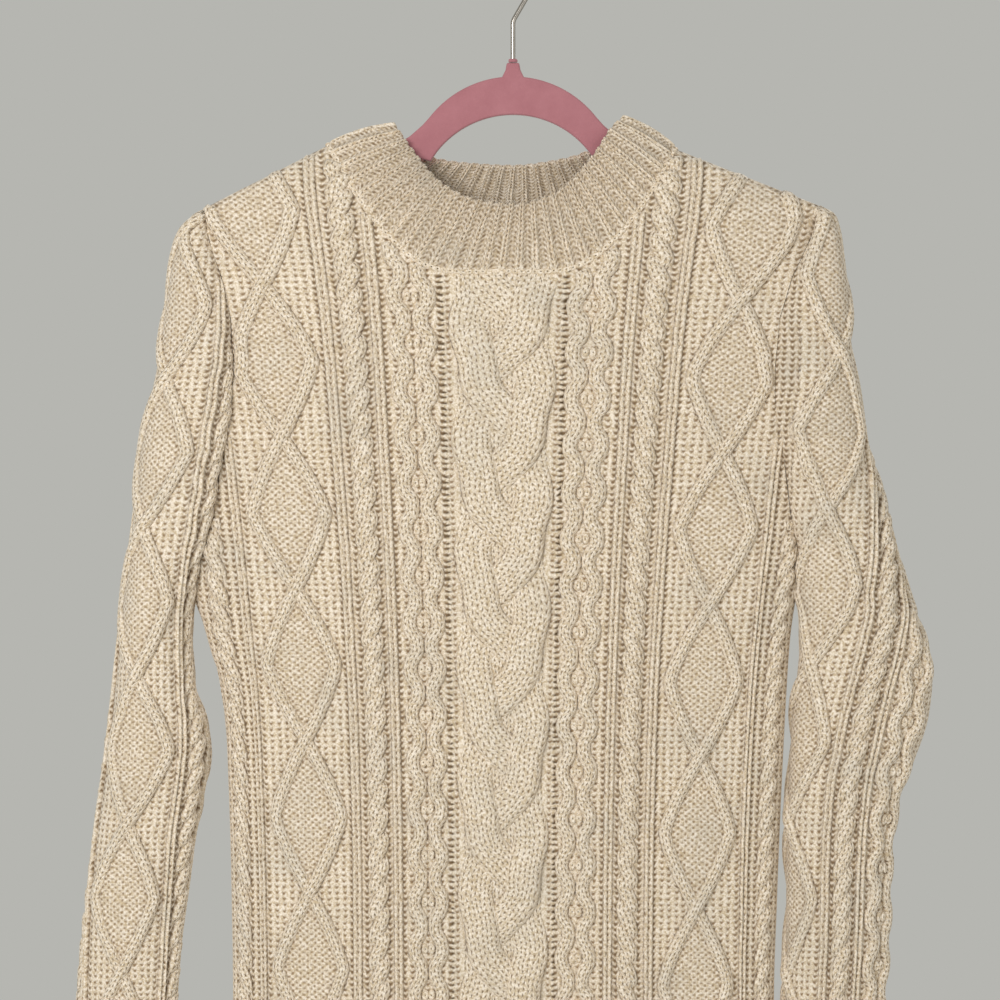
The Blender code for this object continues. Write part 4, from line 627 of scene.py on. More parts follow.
def armhole_loop(side, front, back):
    """The armhole from the shoulder's tip down the front and up the back."""
    drops = [node.drop for node in ARMHOLE]
    points, normals = [], []
    for body in (front, back):
        rise = LENGTH - np.array(drops[::-1] if body is front else drops[1:])
        flat, normal = body.facing(side * body.armhole(side, rise), rise)
        points.append(flat)
        normals.append(normal)
    tip_rise = np.array([LENGTH - SHOULDERS[side].tip_drop])
    tip, tip_normal = front.facing(side * front.edge(side, tip_rise), tip_rise)
    points = np.concatenate([tip, *points])
    normals = np.concatenate([tip_normal, *normals])
    underarm = len(drops)
    for place in (0, underarm):
        points[place, 1] = 0
        normals[place, 1] = 0
    towards = np.tile((side, 0, 0), (len(points), 1)).astype(float)
    loop = Loop(points, unit(normals), towards, (0, underarm))
    loop.outer[underarm] = points[underarm] + (side * SEAM_GAP, 0, 0)
    return loop, underarm


class Sleeve:
    """A sleeve, read by stitch columns from its middle diamond and rise above its end."""

    end = SLEEVE_END

    def __init__(self, side, front, back):
        self.side = side
        self.columns = SLEEVE_COLUMNS[side]
        self.loop, self.underarm = armhole_loop(side, front, back)
        self.tip = SHOULDERS[side].tip_drop
        self.drops = np.linspace(self.tip, SLEEVE_END, SLEEVE_ROWS)
        turns = SLEEVE_TURNS[side]
        outer = smooth(SLEEVE_OUTER[side], "across", self.drops)
        inner = smooth(SLEEVE_INNER[side], "across", self.drops)
        loop_drop = SHOULDER_Z - self.loop.outer[:, 2]
        halves = {
            FRONT: slice(0, self.underarm + 1),
            BACK: np.r_[0, len(loop_drop) - 1:self.underarm - 1:-1],
        }
        rows = {FRONT: [], BACK: []}
        self.girth = {FRONT: [], BACK: []}
        self.spine, self.spread = [], []
        share = np.linspace(0, 1, SLEEVE_COLUMNS_A_FACE)
        for drop, wide, near in zip(self.drops, outer, inner):
            depth = float(smooth(turns, "depth", drop))
            wide = max(wide - EDGE_RELIEF * min(1, (drop - self.tip) / OUTER_RELIEF_OVER), 0)
            for face in (FRONT, BACK):
                part = halves[face]
                end = near + EDGE_RELIEF * min(1, max(0, (drop - UNDERARM) / INNER_RELIEF_OVER))
                end_y = 0.0
                if drop < UNDERARM:
                    end = side * (np.interp(drop, loop_drop[part], self.loop.outer[part, 0]) - CENTRE_X)
                    end_y = abs(np.interp(drop, loop_drop[part], self.loop.outer[part, 1]))
                deep = max(depth, end_y / RIM_SHARE, 0.01)
                past = (end_y / deep) ** (SLEEVE_POWER / 2)
                back_share = math.sqrt(1 - past ** 2) ** (2 / SLEEVE_POWER)
                half = max((wide - end) / (1 + back_share), 0.01)
                angle = np.linspace(0, math.pi - math.asin(past), SECTION_POINTS)
                cosine = np.cos(angle)
                x = wide - half + half * np.sign(cosine) * np.abs(cosine) ** (2 / SLEEVE_POWER)
                y = deep * np.sin(angle) ** (2 / SLEEVE_POWER)
                x[-1], y[-1] = end, end_y
                arc = travelled(np.stack([x, y], axis=1))
                rows[face].append(np.stack([
                    CENTRE_X + side * np.interp(share * arc[-1], arc, x),
                    face * np.interp(share * arc[-1], arc, y),
                    np.full(len(share), SHOULDER_Z - drop),
                ], axis=1))
                self.girth[face].append(arc[-1])
                if face == FRONT:
                    turn = math.radians(float(smooth(turns, "turn", drop)))
                    self.spine.append(np.interp(min(turn, SPINE_SHARE * angle[-1]), angle, arc))
            self.spread.append(float(smooth(turns, "spread", drop)))
        points = np.concatenate([np.array(rows[BACK])[:, ::-1], np.array(rows[FRONT])[:, 1:]], axis=1)
        self.grid = Grid(points, (side, 0, 0), (len(self.drops) // 2, len(share) - 1))
        self.turn_rim(loop_drop)
        self.settle_normals(loop_drop, halves)
        self.girth = {face: np.array(girth) for face, girth in self.girth.items()}
        self.spine, self.spread = np.array(self.spine), np.array(self.spread)
        self.half = (self.girth[FRONT] + self.girth[BACK]) / 2
        room = self.read(self.girth[FRONT], UNDERARM) - self.read(self.spine, UNDERARM)
        self.under = float(self.stitches(room, UNDERARM))

    def turn_rim(self, loop_drop):
        """Turn the rim's wall half way from the body's to the sleeve's own."""
        row = np.searchsorted(self.drops, loop_drop)
        for k in range(1, len(loop_drop)):
            own = self.grid.normals[row[k], -4 if k < self.underarm else 3]
            if k == self.underarm:
                own = np.array((-self.side, 0, -1.0))
            self.loop.normals[k] = unit(own + self.loop.normals[k] * (k != self.underarm))

    def settle_normals(self, loop_drop, halves):
        """Make the normals meet at the inner edge, and match the body's along the armhole."""
        normals = self.grid.normals
        closed = self.drops >= UNDERARM
        for place in (0, -1):
            normals[closed, place] = (-self.side, 0, 0)
        for face, place in ((FRONT, -1), (BACK, 0)):
            part = halves[face]
            for axis in range(3):
                value = np.interp(self.drops[~closed], loop_drop[part], self.loop.normals[part, axis])
                normals[~closed, place, axis] = value
        normals[0] = self.loop.normals[0]
        self.grid.normals = unit(normals)

    def read(self, values, drop):
        """Values that are known for each row, read at a drop."""
        return np.interp(drop, self.drops, values)

    def spreads(self, drop):
        """How far the middle columns and the others spread from their even width."""
        near = self.read(self.spread, drop)
        half = self.read(self.half, np.maximum(drop, UNDERARM))
        far = (half - SLEEVE_MIDDLE * near) / (SLEEVE_ACROSS - SLEEVE_MIDDLE)
        return near, np.minimum(near, far)

    def stitches(self, length, drop):
        """How many nominal millimetres of stitches fit a length from the middle diamond."""
        near, far = self.spreads(drop)
        past = np.maximum(length - SLEEVE_MIDDLE * near, 0)
        return np.minimum(length / near, SLEEVE_MIDDLE) + past / far

    def turned(self, across, rise):
        """How far round from the outer edge a stitch lies, as a share of the front or back."""
        drop = SLEEVE_END - rise
        near, far = self.spreads(drop)
        close = np.minimum(np.abs(across), SLEEVE_MIDDLE)
        aside = np.sign(across) * (near * close + far * (np.abs(across) - close))
        round_it = self.read(self.spine, drop) + aside
        past = np.where(
            drop > UNDERARM, round_it > self.read(self.girth[FRONT], drop), across > self.under + 1e-6
        )
        girth = 2 * self.read(self.half, np.maximum(drop, UNDERARM))
        round_it = np.where(past, round_it - girth, round_it)
        face = np.where(round_it > 0, self.read(self.girth[FRONT], drop), self.read(self.girth[BACK], drop))
        return round_it / face

    def unturned(self, share, drop):
        """The stitch column at a share of the front or back: the other way round."""
        face = np.where(share > 0, self.read(self.girth[FRONT], drop), self.read(self.girth[BACK], drop))
        aside = share * face - self.read(self.spine, drop)
        half = self.read(self.half, np.maximum(drop, UNDERARM))
        aside = np.where(aside < -half, aside + 2 * half, aside)
        return np.sign(aside) * self.stitches(np.abs(aside), drop)

    def at(self, across, rise, height=0.0):
        """The point at a place across and a rise, and a height above it."""
        across, rise = np.broadcast_arrays(np.asarray(across, float), np.asarray(rise, float))
        columns = self.grid.points.shape[1]
        column = (self.turned(across, rise) + 1) / 2 * (columns - 1)
        row = (SLEEVE_END - rise - self.drops[0]) / (self.drops[1] - self.drops[0])
        return self.grid.at(row, column, height)

    def limit(self, rise):
        """How far out from the middle the diamonds may reach."""
        return np.full(np.shape(rise), SLEEVE_LIMIT)

    def room(self, across, rise):
        """How far a point is from the armhole's edge."""
        drop = SLEEVE_END - rise
        away = (1 - np.abs(self.turned(across, rise))) * self.read(self.half, drop)
        return np.minimum(np.maximum(away, 2 * (drop - UNDERARM)), SLOPE_SHARE * (drop - self.tip))

    def lift(self, across, rise):
        """Height of the soft folds that bunch beside the armhole."""
        points = self.at(across, rise)
        out_at = (points[..., 0] - CENTRE_X) * self.side
        drop = SHOULDER_Z - points[..., 2]
        total = np.zeros(out_at.shape)
        for fold in FOLDS[self.side]:
            slope = math.radians(fold.slope)
            out, down = out_at - fold.across, drop - fold.drop
            along = out * math.cos(slope) + down * math.sin(slope)
            over = -out * math.sin(slope) + down * math.cos(slope)
            bump = np.exp(-(along / fold.length) ** 2 - (over / fold.width) ** 2)
            total = total + fold.height * bump
        total = np.where(points[..., 1] < FOLD_FRONT, total, 0)
        return total * np.clip(self.room(across, rise) / FOLD_FADE, 0, 1)


class Collar:
    """The ribbed mock neck, read by its place round the neckline and its share of the height."""

    def __init__(self, front, back):
        points, normals = [], []
        for body in (front, back):
            shares = np.linspace(-1, 1, 801)
            tops = body.top(shares)
            across = body.spot(shares, tops)
            drop = LENGTH - tops
            at_neck = np.abs(drop - body.neckline(across, tops)) < 0.2
            first, last = np.flatnonzero(at_neck)[[0, -1]]
            pick = np.linspace(first, last, COLLAR_PICKS).round().astype(int)
            pick = pick if body is front else pick[-2:0:-1]
            flat, normal = body.facing(across[pick], tops[pick])
            points.append(flat)
            normals.append(normal)
        self.corner = len(points[0]) - 1
        points, normals = np.concatenate(points), np.concatenate(normals)
        for place in (0, self.corner):
            points[place, 1] = normals[place, 1] = 0
        middle = points.mean(axis=0) + (0, 0, 60)
        self.loop = Loop(points, unit(normals), middle - points, (0, self.corner))
        count = len(points)
        ring = self.loop.outer[np.arange(count + 1) % count]
        arc = travelled(ring)
        # A place runs from 0 to 1 along the front, then from 1 to 2 along the back
        places = np.where(
            arc <= arc[self.corner], arc / arc[self.corner],
            1 + (arc - arc[self.corner]) / (arc[-1] - arc[self.corner]),
        )
        place = np.linspace(-COLLAR_OVERLAP, 2 + COLLAR_OVERLAP, COLLAR_COLUMNS)
        top = self.top(np.mod(place, 2))
        bottom = np.stack([np.interp(np.mod(place, 2), places, ring[:, i]) for i in range(3)], axis=1)
        share = np.linspace(0, 1, COLLAR_BANDS + 1)[:, None, None]
        sheet = bottom + (top - bottom) * share
        self.start, self.step = place[0], place[1] - place[0]
        front_middle = (COLLAR_BANDS // 2, round((0.5 - self.start) / self.step))
        flat = Grid(sheet, (0, -1, 0), front_middle)
        sheet = sheet + flat.normals * COLLAR_BULGE * np.sin(math.pi * share)
        self.grid = Grid(sheet, (0, -1, 0), front_middle)

    def top(self, place):
        """The middle of the rolled edge at a place round the neck."""
        share = np.where(place <= 1, place, 2 - place)
        across, drop = (
            np.where(place <= 1, smooth(COLLAR_FRONT, name, share), smooth(COLLAR_BACK, name, share))
            for name in ("across", "drop")
        )
        half = (COLLAR_FRONT[-1].across - COLLAR_FRONT[0].across) / 2
        middle = (COLLAR_FRONT[-1].across + COLLAR_FRONT[0].across) / 2
        out = np.clip(1 - ((across - middle) / half) ** 2, 0, None) ** COLLAR_SQUARE
        y = np.where(place <= 1, -COLLAR_DEPTH[FRONT], COLLAR_DEPTH[BACK]) * out
        return np.stack([CENTRE_X + across, y, SHOULDER_Z - drop], axis=-1)

    def at(self, place, share, height=0.0):
        """A share above 1 or below 0 runs on straight past the edge."""
        place, share = np.broadcast_arrays(np.asarray(place, float), np.asarray(share, float))
        column = (np.mod(place, 2) - self.start) / self.step
        on_it = np.clip(share, 0, 1)
        point = self.grid.at(on_it * COLLAR_BANDS, column, height)
        last, before = (
            self.grid.at(np.full(share.shape, float(row)), column)
            for row in (COLLAR_BANDS, COLLAR_BANDS - 1)
        )
        return point + (last - before) * COLLAR_BANDS * (share - on_it)[..., None]


# Where the strands of each kind of column run


def swing(share):
    """How far a diamond's border has gone out, from 0 at a crossing to 1 at its widest."""
    return DIAMOND_STRAIGHT * share + (1 - DIAMOND_STRAIGHT) * np.sin(math.pi / 2 * share)


def border(column, rise, sign, limit):
    """Place and lift of a border strand, which changes sides at each crossing."""
    along = (rise - column.start) / column.pitch
    share = np.abs(np.mod(along * 2 + 1, 2) - 1)
    side = sign * np.where(np.mod(np.floor(along), 2) == 0, 1, -1)
    place = column.place + side * column.reach * swing(share)
    near = np.exp(-((along - np.round(along)) * column.pitch / CROSS_REACH) ** 2)
    over = np.where(np.mod(np.round(along), 2) == 0, 1, -1) * sign
    room = STRANDS["diamond"].half
    return np.clip(place, -limit + room, limit - room), CROSS_LIFT * over * near


def diamond_inside(column, across, rise, limit):
    """1 in the moss inside a diamond, fading to 0 under its borders."""
    along = (rise - column.start) / column.pitch
    share = np.abs(np.mod(along * 2 + 1, 2) - 1)
    reach = column.reach * swing(share)
    left = np.maximum(column.place - reach, -limit)
    right = np.minimum(column.place + reach, limit)
    return np.clip(np.minimum(across - left, right - across) / MOSS_FADE, 0, 1)


def chain_swing(column, rise):
    """How far a chain's strands are from its middle: they part in rings and touch between them."""
    turn = np.cos(2 * math.pi * (rise - column.start) / column.pitch)
    return CHAIN_PLACE + column.reach * np.tanh(CHAIN_SQUARE * turn) / math.tanh(CHAIN_SQUARE)


def plait_strand(column, rise, k):
    """Place and lift of one of the plait's three strands."""
    angle = 2 * math.pi * (k / 3 - (rise - column.start) / (3 * column.pitch))
    angle = angle + math.radians(PLAIT_PHASE)
    bends = sum(share * np.sin(times * angle) for times, share in PLAIT_BENDS)
    return column.reach * (np.sin(angle) + bends), -PLAIT_LIFT * np.sin(2 * angle)


Run = namedtuple("Run", "kind across rise height width")


def column_runs(form, column, low, high):
    """The strands of one column of stitches: each one's path, height and width."""
    look = STRANDS[column.kind]
    rise = np.arange(low, high, STRAND_STEP)
    even = np.ones(len(rise))
    if column.kind == "ridge":
        return [Run("ridge", column.place * even, rise, look.height * even, even)]
    if column.kind == "chain":
        return [
            Run("chain", column.place + k * chain_swing(column, rise), rise, look.height * even, even)
            for k in (-1, 1)
        ]
    if column.kind == "plait":
        strands = [plait_strand(column, rise, k) for k in range(3)]
        return [Run("plait", column.place + x, rise, look.height + lift, even) for x, lift in strands]
    if column.kind == "diamond":
        borders = [border(column, rise, sign, form.limit(rise)) for sign in (-1, 1)]
        return [Run("diamond", x, rise, look.height + lift, even) for x, lift in borders]
    # A rope is a row of lobes, each sweeping from one side to the other over the last
    along = np.linspace(LOBE_START, LOBE_END, LOBE_POINTS)
    turn = np.clip(0.95 * along + 0.025, 0, 1)
    place = column.place + column.lean * column.reach * (2 * turn * turn * (3 - 2 * turn) - 1)
    rising = np.sin(math.pi / 2 * np.clip((along - LOBE_START) / LOBE_FADE, 0, 1))
    falling = np.sin(math.pi / 2 * np.clip((LOBE_END - along) / LOBE_FADE, 0, 1))
    dip = LOBE_UNDER[0] * (1 - rising) + LOBE_UNDER[1] * (1 - falling)
    height = look.height * rising * falling - dip
    width = LOBE_TIP + (1 - LOBE_TIP) * np.sqrt(rising * falling)
    first = math.floor((low - column.start) / column.pitch) - 1
    last = math.ceil((high - column.start) / column.pitch) + 1
    return [
        Run("rope", place, column.start + (k + along) * column.pitch, height, width)
        for k in range(first, last)
    ]


# Building meshes


class Knit:
    """Points, faces, stitch coordinates and stitch kinds of one mesh."""

    def __init__(self):
        self.points, self.faces, self.uvs, self.kinds, self.count = [], [], [], [], 0

    def add(self, points, uv, kind):
        """A grid of points, with its stitch coordinates and kinds. Returns their numbers."""
        shape = points.shape[:2]
        number = self.count + np.arange(shape[0] * shape[1]).reshape(shape)
        self.points.append(points.reshape(-1, 3))
        self.uvs.append(np.broadcast_to(uv, (*shape, 2)).reshape(-1, 2))
        self.kinds.append(np.broadcast_to(kind, (*shape, 4)).reshape(-1, 4))
        self.count += number.size
        return number

    def quads(self, number, flip=False):
        """Faces over a grid of point numbers."""
        a, b, c, d = number[:-1, :-1], number[:-1, 1:], number[1:, 1:], number[1:, :-1]
        faces = np.stack([a, b, c, d], axis=-1).reshape(-1, 4)
        self.faces += (faces[:, ::-1] if flip else faces).tolist()

    def tube(self, number):
        """Faces over rings of point numbers, with a cap at each end."""
        self.quads(np.concatenate([number, number[:, :1]], axis=1))
        self.faces += [number[0].tolist(), number[-1, ::-1].tolist()]

    def object(self, name, material, smooth_angle=None):
        """The mesh as an object with one material, its faces turned outwards."""
        mesh = bpy.data.meshes.new(name)
        points = np.concatenate(self.points) * MM
        mesh.from_pydata(points.tolist(), [], self.faces)
        corner = np.empty(len(mesh.loops), dtype=np.int32)
        mesh.loops.foreach_get("vertex_index", corner)
        layer = mesh.uv_layers.new(name="Stitch")
        layer.data.foreach_set("uv", np.concatenate(self.uvs)[corner].astype(np.float32).ravel())
        # Shares of knit, of moss, of painted shade and of open ladder at each point
        colour = mesh.color_attributes.new("kind", "FLOAT_COLOR", "POINT")
        colour.data.foreach_set("color", np.concatenate(self.kinds).astype(np.float32).ravel())
        mesh.materials.append(bpy.data.materials[material])
        shape = bmesh.new()
        shape.from_mesh(mesh)
        bmesh.ops.recalc_face_normals(shape, faces=shape.faces)
        if shape.calc_volume(signed=True) < 0:
            bmesh.ops.reverse_faces(shape, faces=shape.faces)
        shape.to_mesh(mesh)
        shape.free()
        mesh.shade_smooth()
        if smooth_angle:
            mesh.set_sharp_from_angle(angle=math.radians(smooth_angle))
        return placed(name, mesh)


def placed(name, data):
    """An object in the scene with the data given."""
    made = bpy.data.objects.new(name, data)
    bpy.context.scene.collection.objects.link(made)
    return made


def gauge():
    """The width and the height of one stitch, in millimetres."""
    yarn = bpy.context.scene.dress_yarn
    return yarn.stitch_width / MM, yarn.row_height / MM


def strap(knit, form, run):
    """One strand, as a rounded strap whose edges and underside are sunk in the ground."""
    look = STRANDS[run.kind]
    tall = gauge()[1]
    direction = unit(np.stack([np.gradient(run.across), np.gradient(run.rise)], axis=-1))
    turn = np.linspace(-1, 1, look.points)
    if run.kind == "ridge":
        profile = np.array(RIDGE_PROFILE)
    else:
        turn = np.sin(math.pi / 2 * turn * CROWDING) / math.sin(math.pi / 2 * CROWDING)
        profile = np.clip(1 - np.abs(turn) ** look.square, 0, None) ** 0.5
    # The two last points of a section are its underside, half as wide
    offset = look.half * np.concatenate([turn, [0.5, -0.5]]) * run.width[:, None]
    across = run.across[:, None] + offset * direction[:, 1:2]
    rise = run.rise[:, None] - offset * direction[:, 0:1]
    height = (run.height[:, None] + SUNK) * profile - SUNK
    height = np.concatenate([height, np.full((len(height), 2), -SUNK * UNDERSIDE)], axis=1)
    points = form.at(across, rise, height + form.lift(across, rise))
    up = run.rise[0] + travelled(np.stack([run.across, run.rise], axis=1))
    u = look.wales * np.concatenate([(turn + 1) / 2, [0.75, 0.25]])
    uv = np.stack(np.broadcast_arrays(u[None, :], up[:, None] / tall), axis=-1)
    edge = 1 - look.edge / look.half
    shade = np.concatenate([look.dark * np.clip((np.abs(turn) - edge) / (SHADE_FULL - edge), 0, 1), [1, 1]])
    kind = np.stack([np.ones_like(shade), 0 * shade, shade, 0 * shade], axis=-1)
    knit.tube(knit.add(points, uv, kind[None]))


def trimmed(form, run):
    """The stretches of a strand that lie inside the piece's edges, sinking towards them."""
    room = form.room(run.across, run.rise)
    inside = room > STRAND_CLEAR
    fade = np.clip(room / STRANDS[run.kind].sink, 0, 1) ** SINK_POWER
    height = (run.height + SUNK) * fade - SUNK
    edges = np.flatnonzero(np.diff(np.concatenate([[0], inside.astype(int), [0]])))
    for start, stop in zip(edges[::2], edges[1::2]):
        if stop - start > 2:
            part = slice(start, stop)
            yield Run(run.kind, run.across[part], run.rise[part], height[part], run.width[part])


def make_cables(name, form, low, high):
    """All the strands of one piece as one mesh."""
    knit = Knit()
    for column in form.columns:
        for run in column_runs(form, column, low, high):
            inside = run.rise >= low
            run = Run(run.kind, *(values[inside] for values in run[1:]))
            if len(run.rise) > 2:
                for part in trimmed(form, run):
                    strap(knit, form, part)
    return knit.object(name, WOOL)


def beside(away, width):
    """1 at a strand's edge, fading out over a width beyond it."""
    return np.exp(-(np.maximum(away, 0) / width) ** 2)


def ground_kind(form, across, rise, rib_top, rib_share):
    """Shares of knit, of moss, of shade and of open ladder at each point of the ground."""
    knit, moss, shade, ladder = (np.zeros(across.shape) for _ in range(4))
    for column in form.columns:
        away = np.abs(across - column.place)
        if column.kind == "plait":
            ladder = np.maximum(ladder, beside(np.abs(away - LADDER) - LADDER_HALF, LADDER_FADE))
            knit = np.maximum(knit, np.clip((PLAIT_KNIT - away) / PLAIT_KNIT_FADE, 0, 1))
            continue
        off = [away - column.reach]
        if column.kind == "diamond":
            limit = form.limit(rise)
            moss = np.maximum(moss, diamond_inside(column, across, rise, limit))
            off = [np.abs(across - border(column, rise, sign, limit)[0]) for sign in (-1, 1)]
        if column.kind == "chain":
            off = [np.where(away > CHAIN_CLEAR, away - chain_swing(column, rise), np.inf)]
            shade = np.maximum(shade, CHAIN_GROOVE.dark * beside(away, CHAIN_GROOVE.fade))
        cast = SHADES[column.kind]
        inner = STRANDS[column.kind].half - cast.inset
        for from_middle in off:
            shade = np.maximum(shade, cast.dark * beside(from_middle - inner, cast.fade))
    rib = np.clip((rib_top - rise) / RIB_COLOUR_FADE, 0, 1)
    pattern = 1 - rib
    rib_shade = RIB_SHADE * rib * (1 - rib_share)
    return np.stack([
        knit * pattern + rib * rib_share, moss * pattern, shade * pattern + rib_shade, ladder * pattern,
    ], axis=-1)


def rib_wave(phase):
    """The height of a 1x1 rib, grooved down its middle, and the share of knit stitches there."""
    wave = np.clip(0.5 - RIB_STEEP * np.cos(2 * math.pi * phase), 0, 1)
    groove = np.exp(-((phase % 1 - 0.5) / RIB_GROOVE_WIDTH) ** 2)
    return wave - RIB_GROOVE * groove, np.clip(wave * 2.2 - 0.3, 0, 1)


def close_shell(knit, outer, inner, open_from=(0, 0)):
    """Join an outer and an inner grid along their ends, and their sides from the rows given."""
    knit.quads(outer)
    knit.quads(inner, flip=True)
    for row in (0, -1):
        pair = np.stack([inner[row], outer[row]])
        knit.quads(pair if row == 0 else pair[::-1])
    for column in (0, -1):
        fine = outer[open_from[0]:, column].tolist()
        coarse = inner[open_from[1]:, column].tolist()
        zip_edge(knit, fine, coarse, flip=column == -1)


def zip_edge(knit, fine, coarse, flip):
    """Triangles between two edges with different numbers of points."""
    i = j = 0
    while i < len(fine) - 1 or j < len(coarse) - 1:
        next_fine = (i + 1) / (len(fine) - 1) if i < len(fine) - 1 else 2
        next_coarse = (j + 1) / (len(coarse) - 1) if j < len(coarse) - 1 else 2
        if next_fine <= next_coarse:
            face = (fine[i], fine[i + 1], coarse[j])
            i += 1
        else:
            face = (fine[i], coarse[j + 1], coarse[j])
            j += 1
        knit.faces.append(face[::-1] if flip else face)


def make_panel(name, body, fine, step):
    """One panel's ground, with fine points to a rib: purl, moss in the diamonds, a ribbed hem."""
    wide, tall = gauge()
    knit = Knit()
    share = np.linspace(-1, 1, fine * PANEL_RIBS + 1)
    top = body.top(share)
    lower = np.arange(0, STRAIGHT_TOP, step)
    upper = np.linspace(0, 1, int(UPPER_HEIGHT / step))

    def grid_rise(low_rows, high_shares):
        """Level rows at the rises given, then rows at shares of the way to the top edge."""
        high = STRAIGHT_TOP + (top - STRAIGHT_TOP) * high_shares[:, None]
        return np.concatenate([np.repeat(low_rows[:, None], len(share), axis=1), high])

    rise = grid_rise(lower, upper)
    across = body.spot(share[None, :], rise)
    wave, rib_share = rib_wave(share * PANEL_RIBS / 2 + 0.5)
    in_rib = np.clip((HEM_RIB - rise) / RIB_FADE, 0, 1)
    inside = sum(
        diamond_inside(c, across, rise, body.limit(rise)) for c in body.columns if c.kind == "diamond"
    )
    edge_fade = np.clip(body.room(across, rise) / PANEL_EDGE_FADE, 0, 1)
    # Under the plait the ground is knit and raised, so it fills the corners between its strands
    plait = np.clip((PLAIT_GROUND - np.abs(across)) / PLAIT_GROUND_FADE, 0, 1)
    pattern = (inside + plait) * MOSS_HEIGHT * edge_fade
    height = in_rib * RIB_HEIGHT * wave + (1 - in_rib) * pattern
    height = height + body.lift(across, rise) * np.clip((rise - HEM_RIB) / HEM_FADE, 0, 1)
    u = across / wide * (1 - in_rib) + in_rib * (share * PANEL_RIBS + 0.5)
    uv = np.stack([u, rise / tall], axis=-1)
    kind = ground_kind(body, across, rise, HEM_RIB, rib_share[None, :])
    outer = knit.add(body.at(across, rise, height), uv, kind)
    inner_rise = grid_rise(lower[::INNER_EVERY], np.linspace(0, 1, INNER_TOP_ROWS))
    inner_across = INNER_SHARE * body.spot(share[None, :], inner_rise)
    uv = np.stack([inner_across / wide, inner_rise / tall], axis=-1)
    sunk = np.full(inner_rise.shape, -WALL)
    inner = knit.add(body.at(inner_across, inner_rise, sunk), uv, INNER_KIND)
    close_shell(knit, outer, inner)
    flat = body.at(across[::CUT_EVERY, ::CUT_EVERY], rise[::CUT_EVERY, ::CUT_EVERY])
    # The rows near the top bend along the neckline, so they don't give the width
    straight = np.ptp(rise[::CUT_EVERY], axis=1) < 1
    return knit.object(name, WOOL, 60), cut_size(flat, straight)


def cut_size(points, straight=slice(None)):
    """The flat width, length and area of a piece, from points on its form and its straight rows."""
    along = np.linalg.norm(np.diff(points, axis=1), axis=2)
    up = np.linalg.norm(np.diff(points, axis=0), axis=2)
    sides = np.diff(points, axis=1)[:-1], np.diff(points, axis=0)[:, :-1]
    area = np.linalg.norm(np.cross(*sides), axis=2).sum()
    width, length = along.sum(axis=1)[straight].max(), up.sum(axis=0).max()
    return width * MM, length * MM, area * MM * MM


def make_sleeve(name, sleeve):
    """One sleeve's ground, with its ribbed cuff."""
    wide, tall = gauge()
    knit = Knit()
    drops = sleeve.drops[::-1]
    share = np.linspace(-1, 1, 2 * SLEEVE_COLUMNS_A_FACE - 1)
    rows, columns = np.broadcast_arrays(
        np.arange(len(drops) - 1, -1, -1.0)[:, None], np.arange(float(len(share)))[None, :]
    )
    rise = np.repeat((SLEEVE_END - drops)[:, None], len(share), axis=1)
    across = sleeve.unturned(share[None, :], SLEEVE_END - rise)
    girths = [sleeve.read(sleeve.girth[face], SLEEVE_END - rise) for face in (FRONT, BACK)]
    round_it = share[None, :] * np.where(share[None, :] > 0, *girths) / (girths[0] + girths[1])
    wave, rib_share = rib_wave(round_it * CUFF_RIBS + 0.5)
    in_rib = np.clip((SLEEVE_RIB - rise) / RIB_FADE, 0, 1)
    inside = diamond_inside(sleeve.columns[0], across, rise, SLEEVE_LIMIT)
    fade = np.clip(sleeve.room(across, rise) / SLEEVE_EDGE_FADE, 0, 1)
    height = in_rib * RIB_HEIGHT * wave + (1 - in_rib) * inside * MOSS_HEIGHT * fade
    height = height + sleeve.lift(across, rise)
    u = across / wide * (1 - in_rib) + in_rib * (2 * round_it * CUFF_RIBS + 0.5)
    uv = np.stack([u, rise / tall], axis=-1)
    kind = ground_kind(sleeve, across, rise, SLEEVE_RIB, rib_share)
    outer = knit.add(sleeve.grid.at(rows, columns, height), uv, kind)
    pick = np.unique(np.concatenate([np.arange(0, len(drops), INNER_EVERY), [len(drops) - 1]]))
    sunk = np.full(rows[pick].shape, -WALL)
    inner = knit.add(sleeve.grid.at(rows[pick], columns[pick], sunk), uv[pick], INNER_KIND)
    # Below the underarm the sides meet in one line of points, and above it they are rims
    closed = int(np.sum(drops > UNDERARM))
    inner_closed = int(np.sum(pick < closed))
    for grid, end in ((outer, closed), (inner, inner_closed)):
        grid[:end, -1] = grid[:end, 0]
    close_shell(knit, outer, inner, (closed - 1, inner_closed - 1))
    flat = sleeve.grid.points[::CUT_EVERY, ::CUT_EVERY]
    return knit.object(name, WOOL, 60), cut_size(flat)


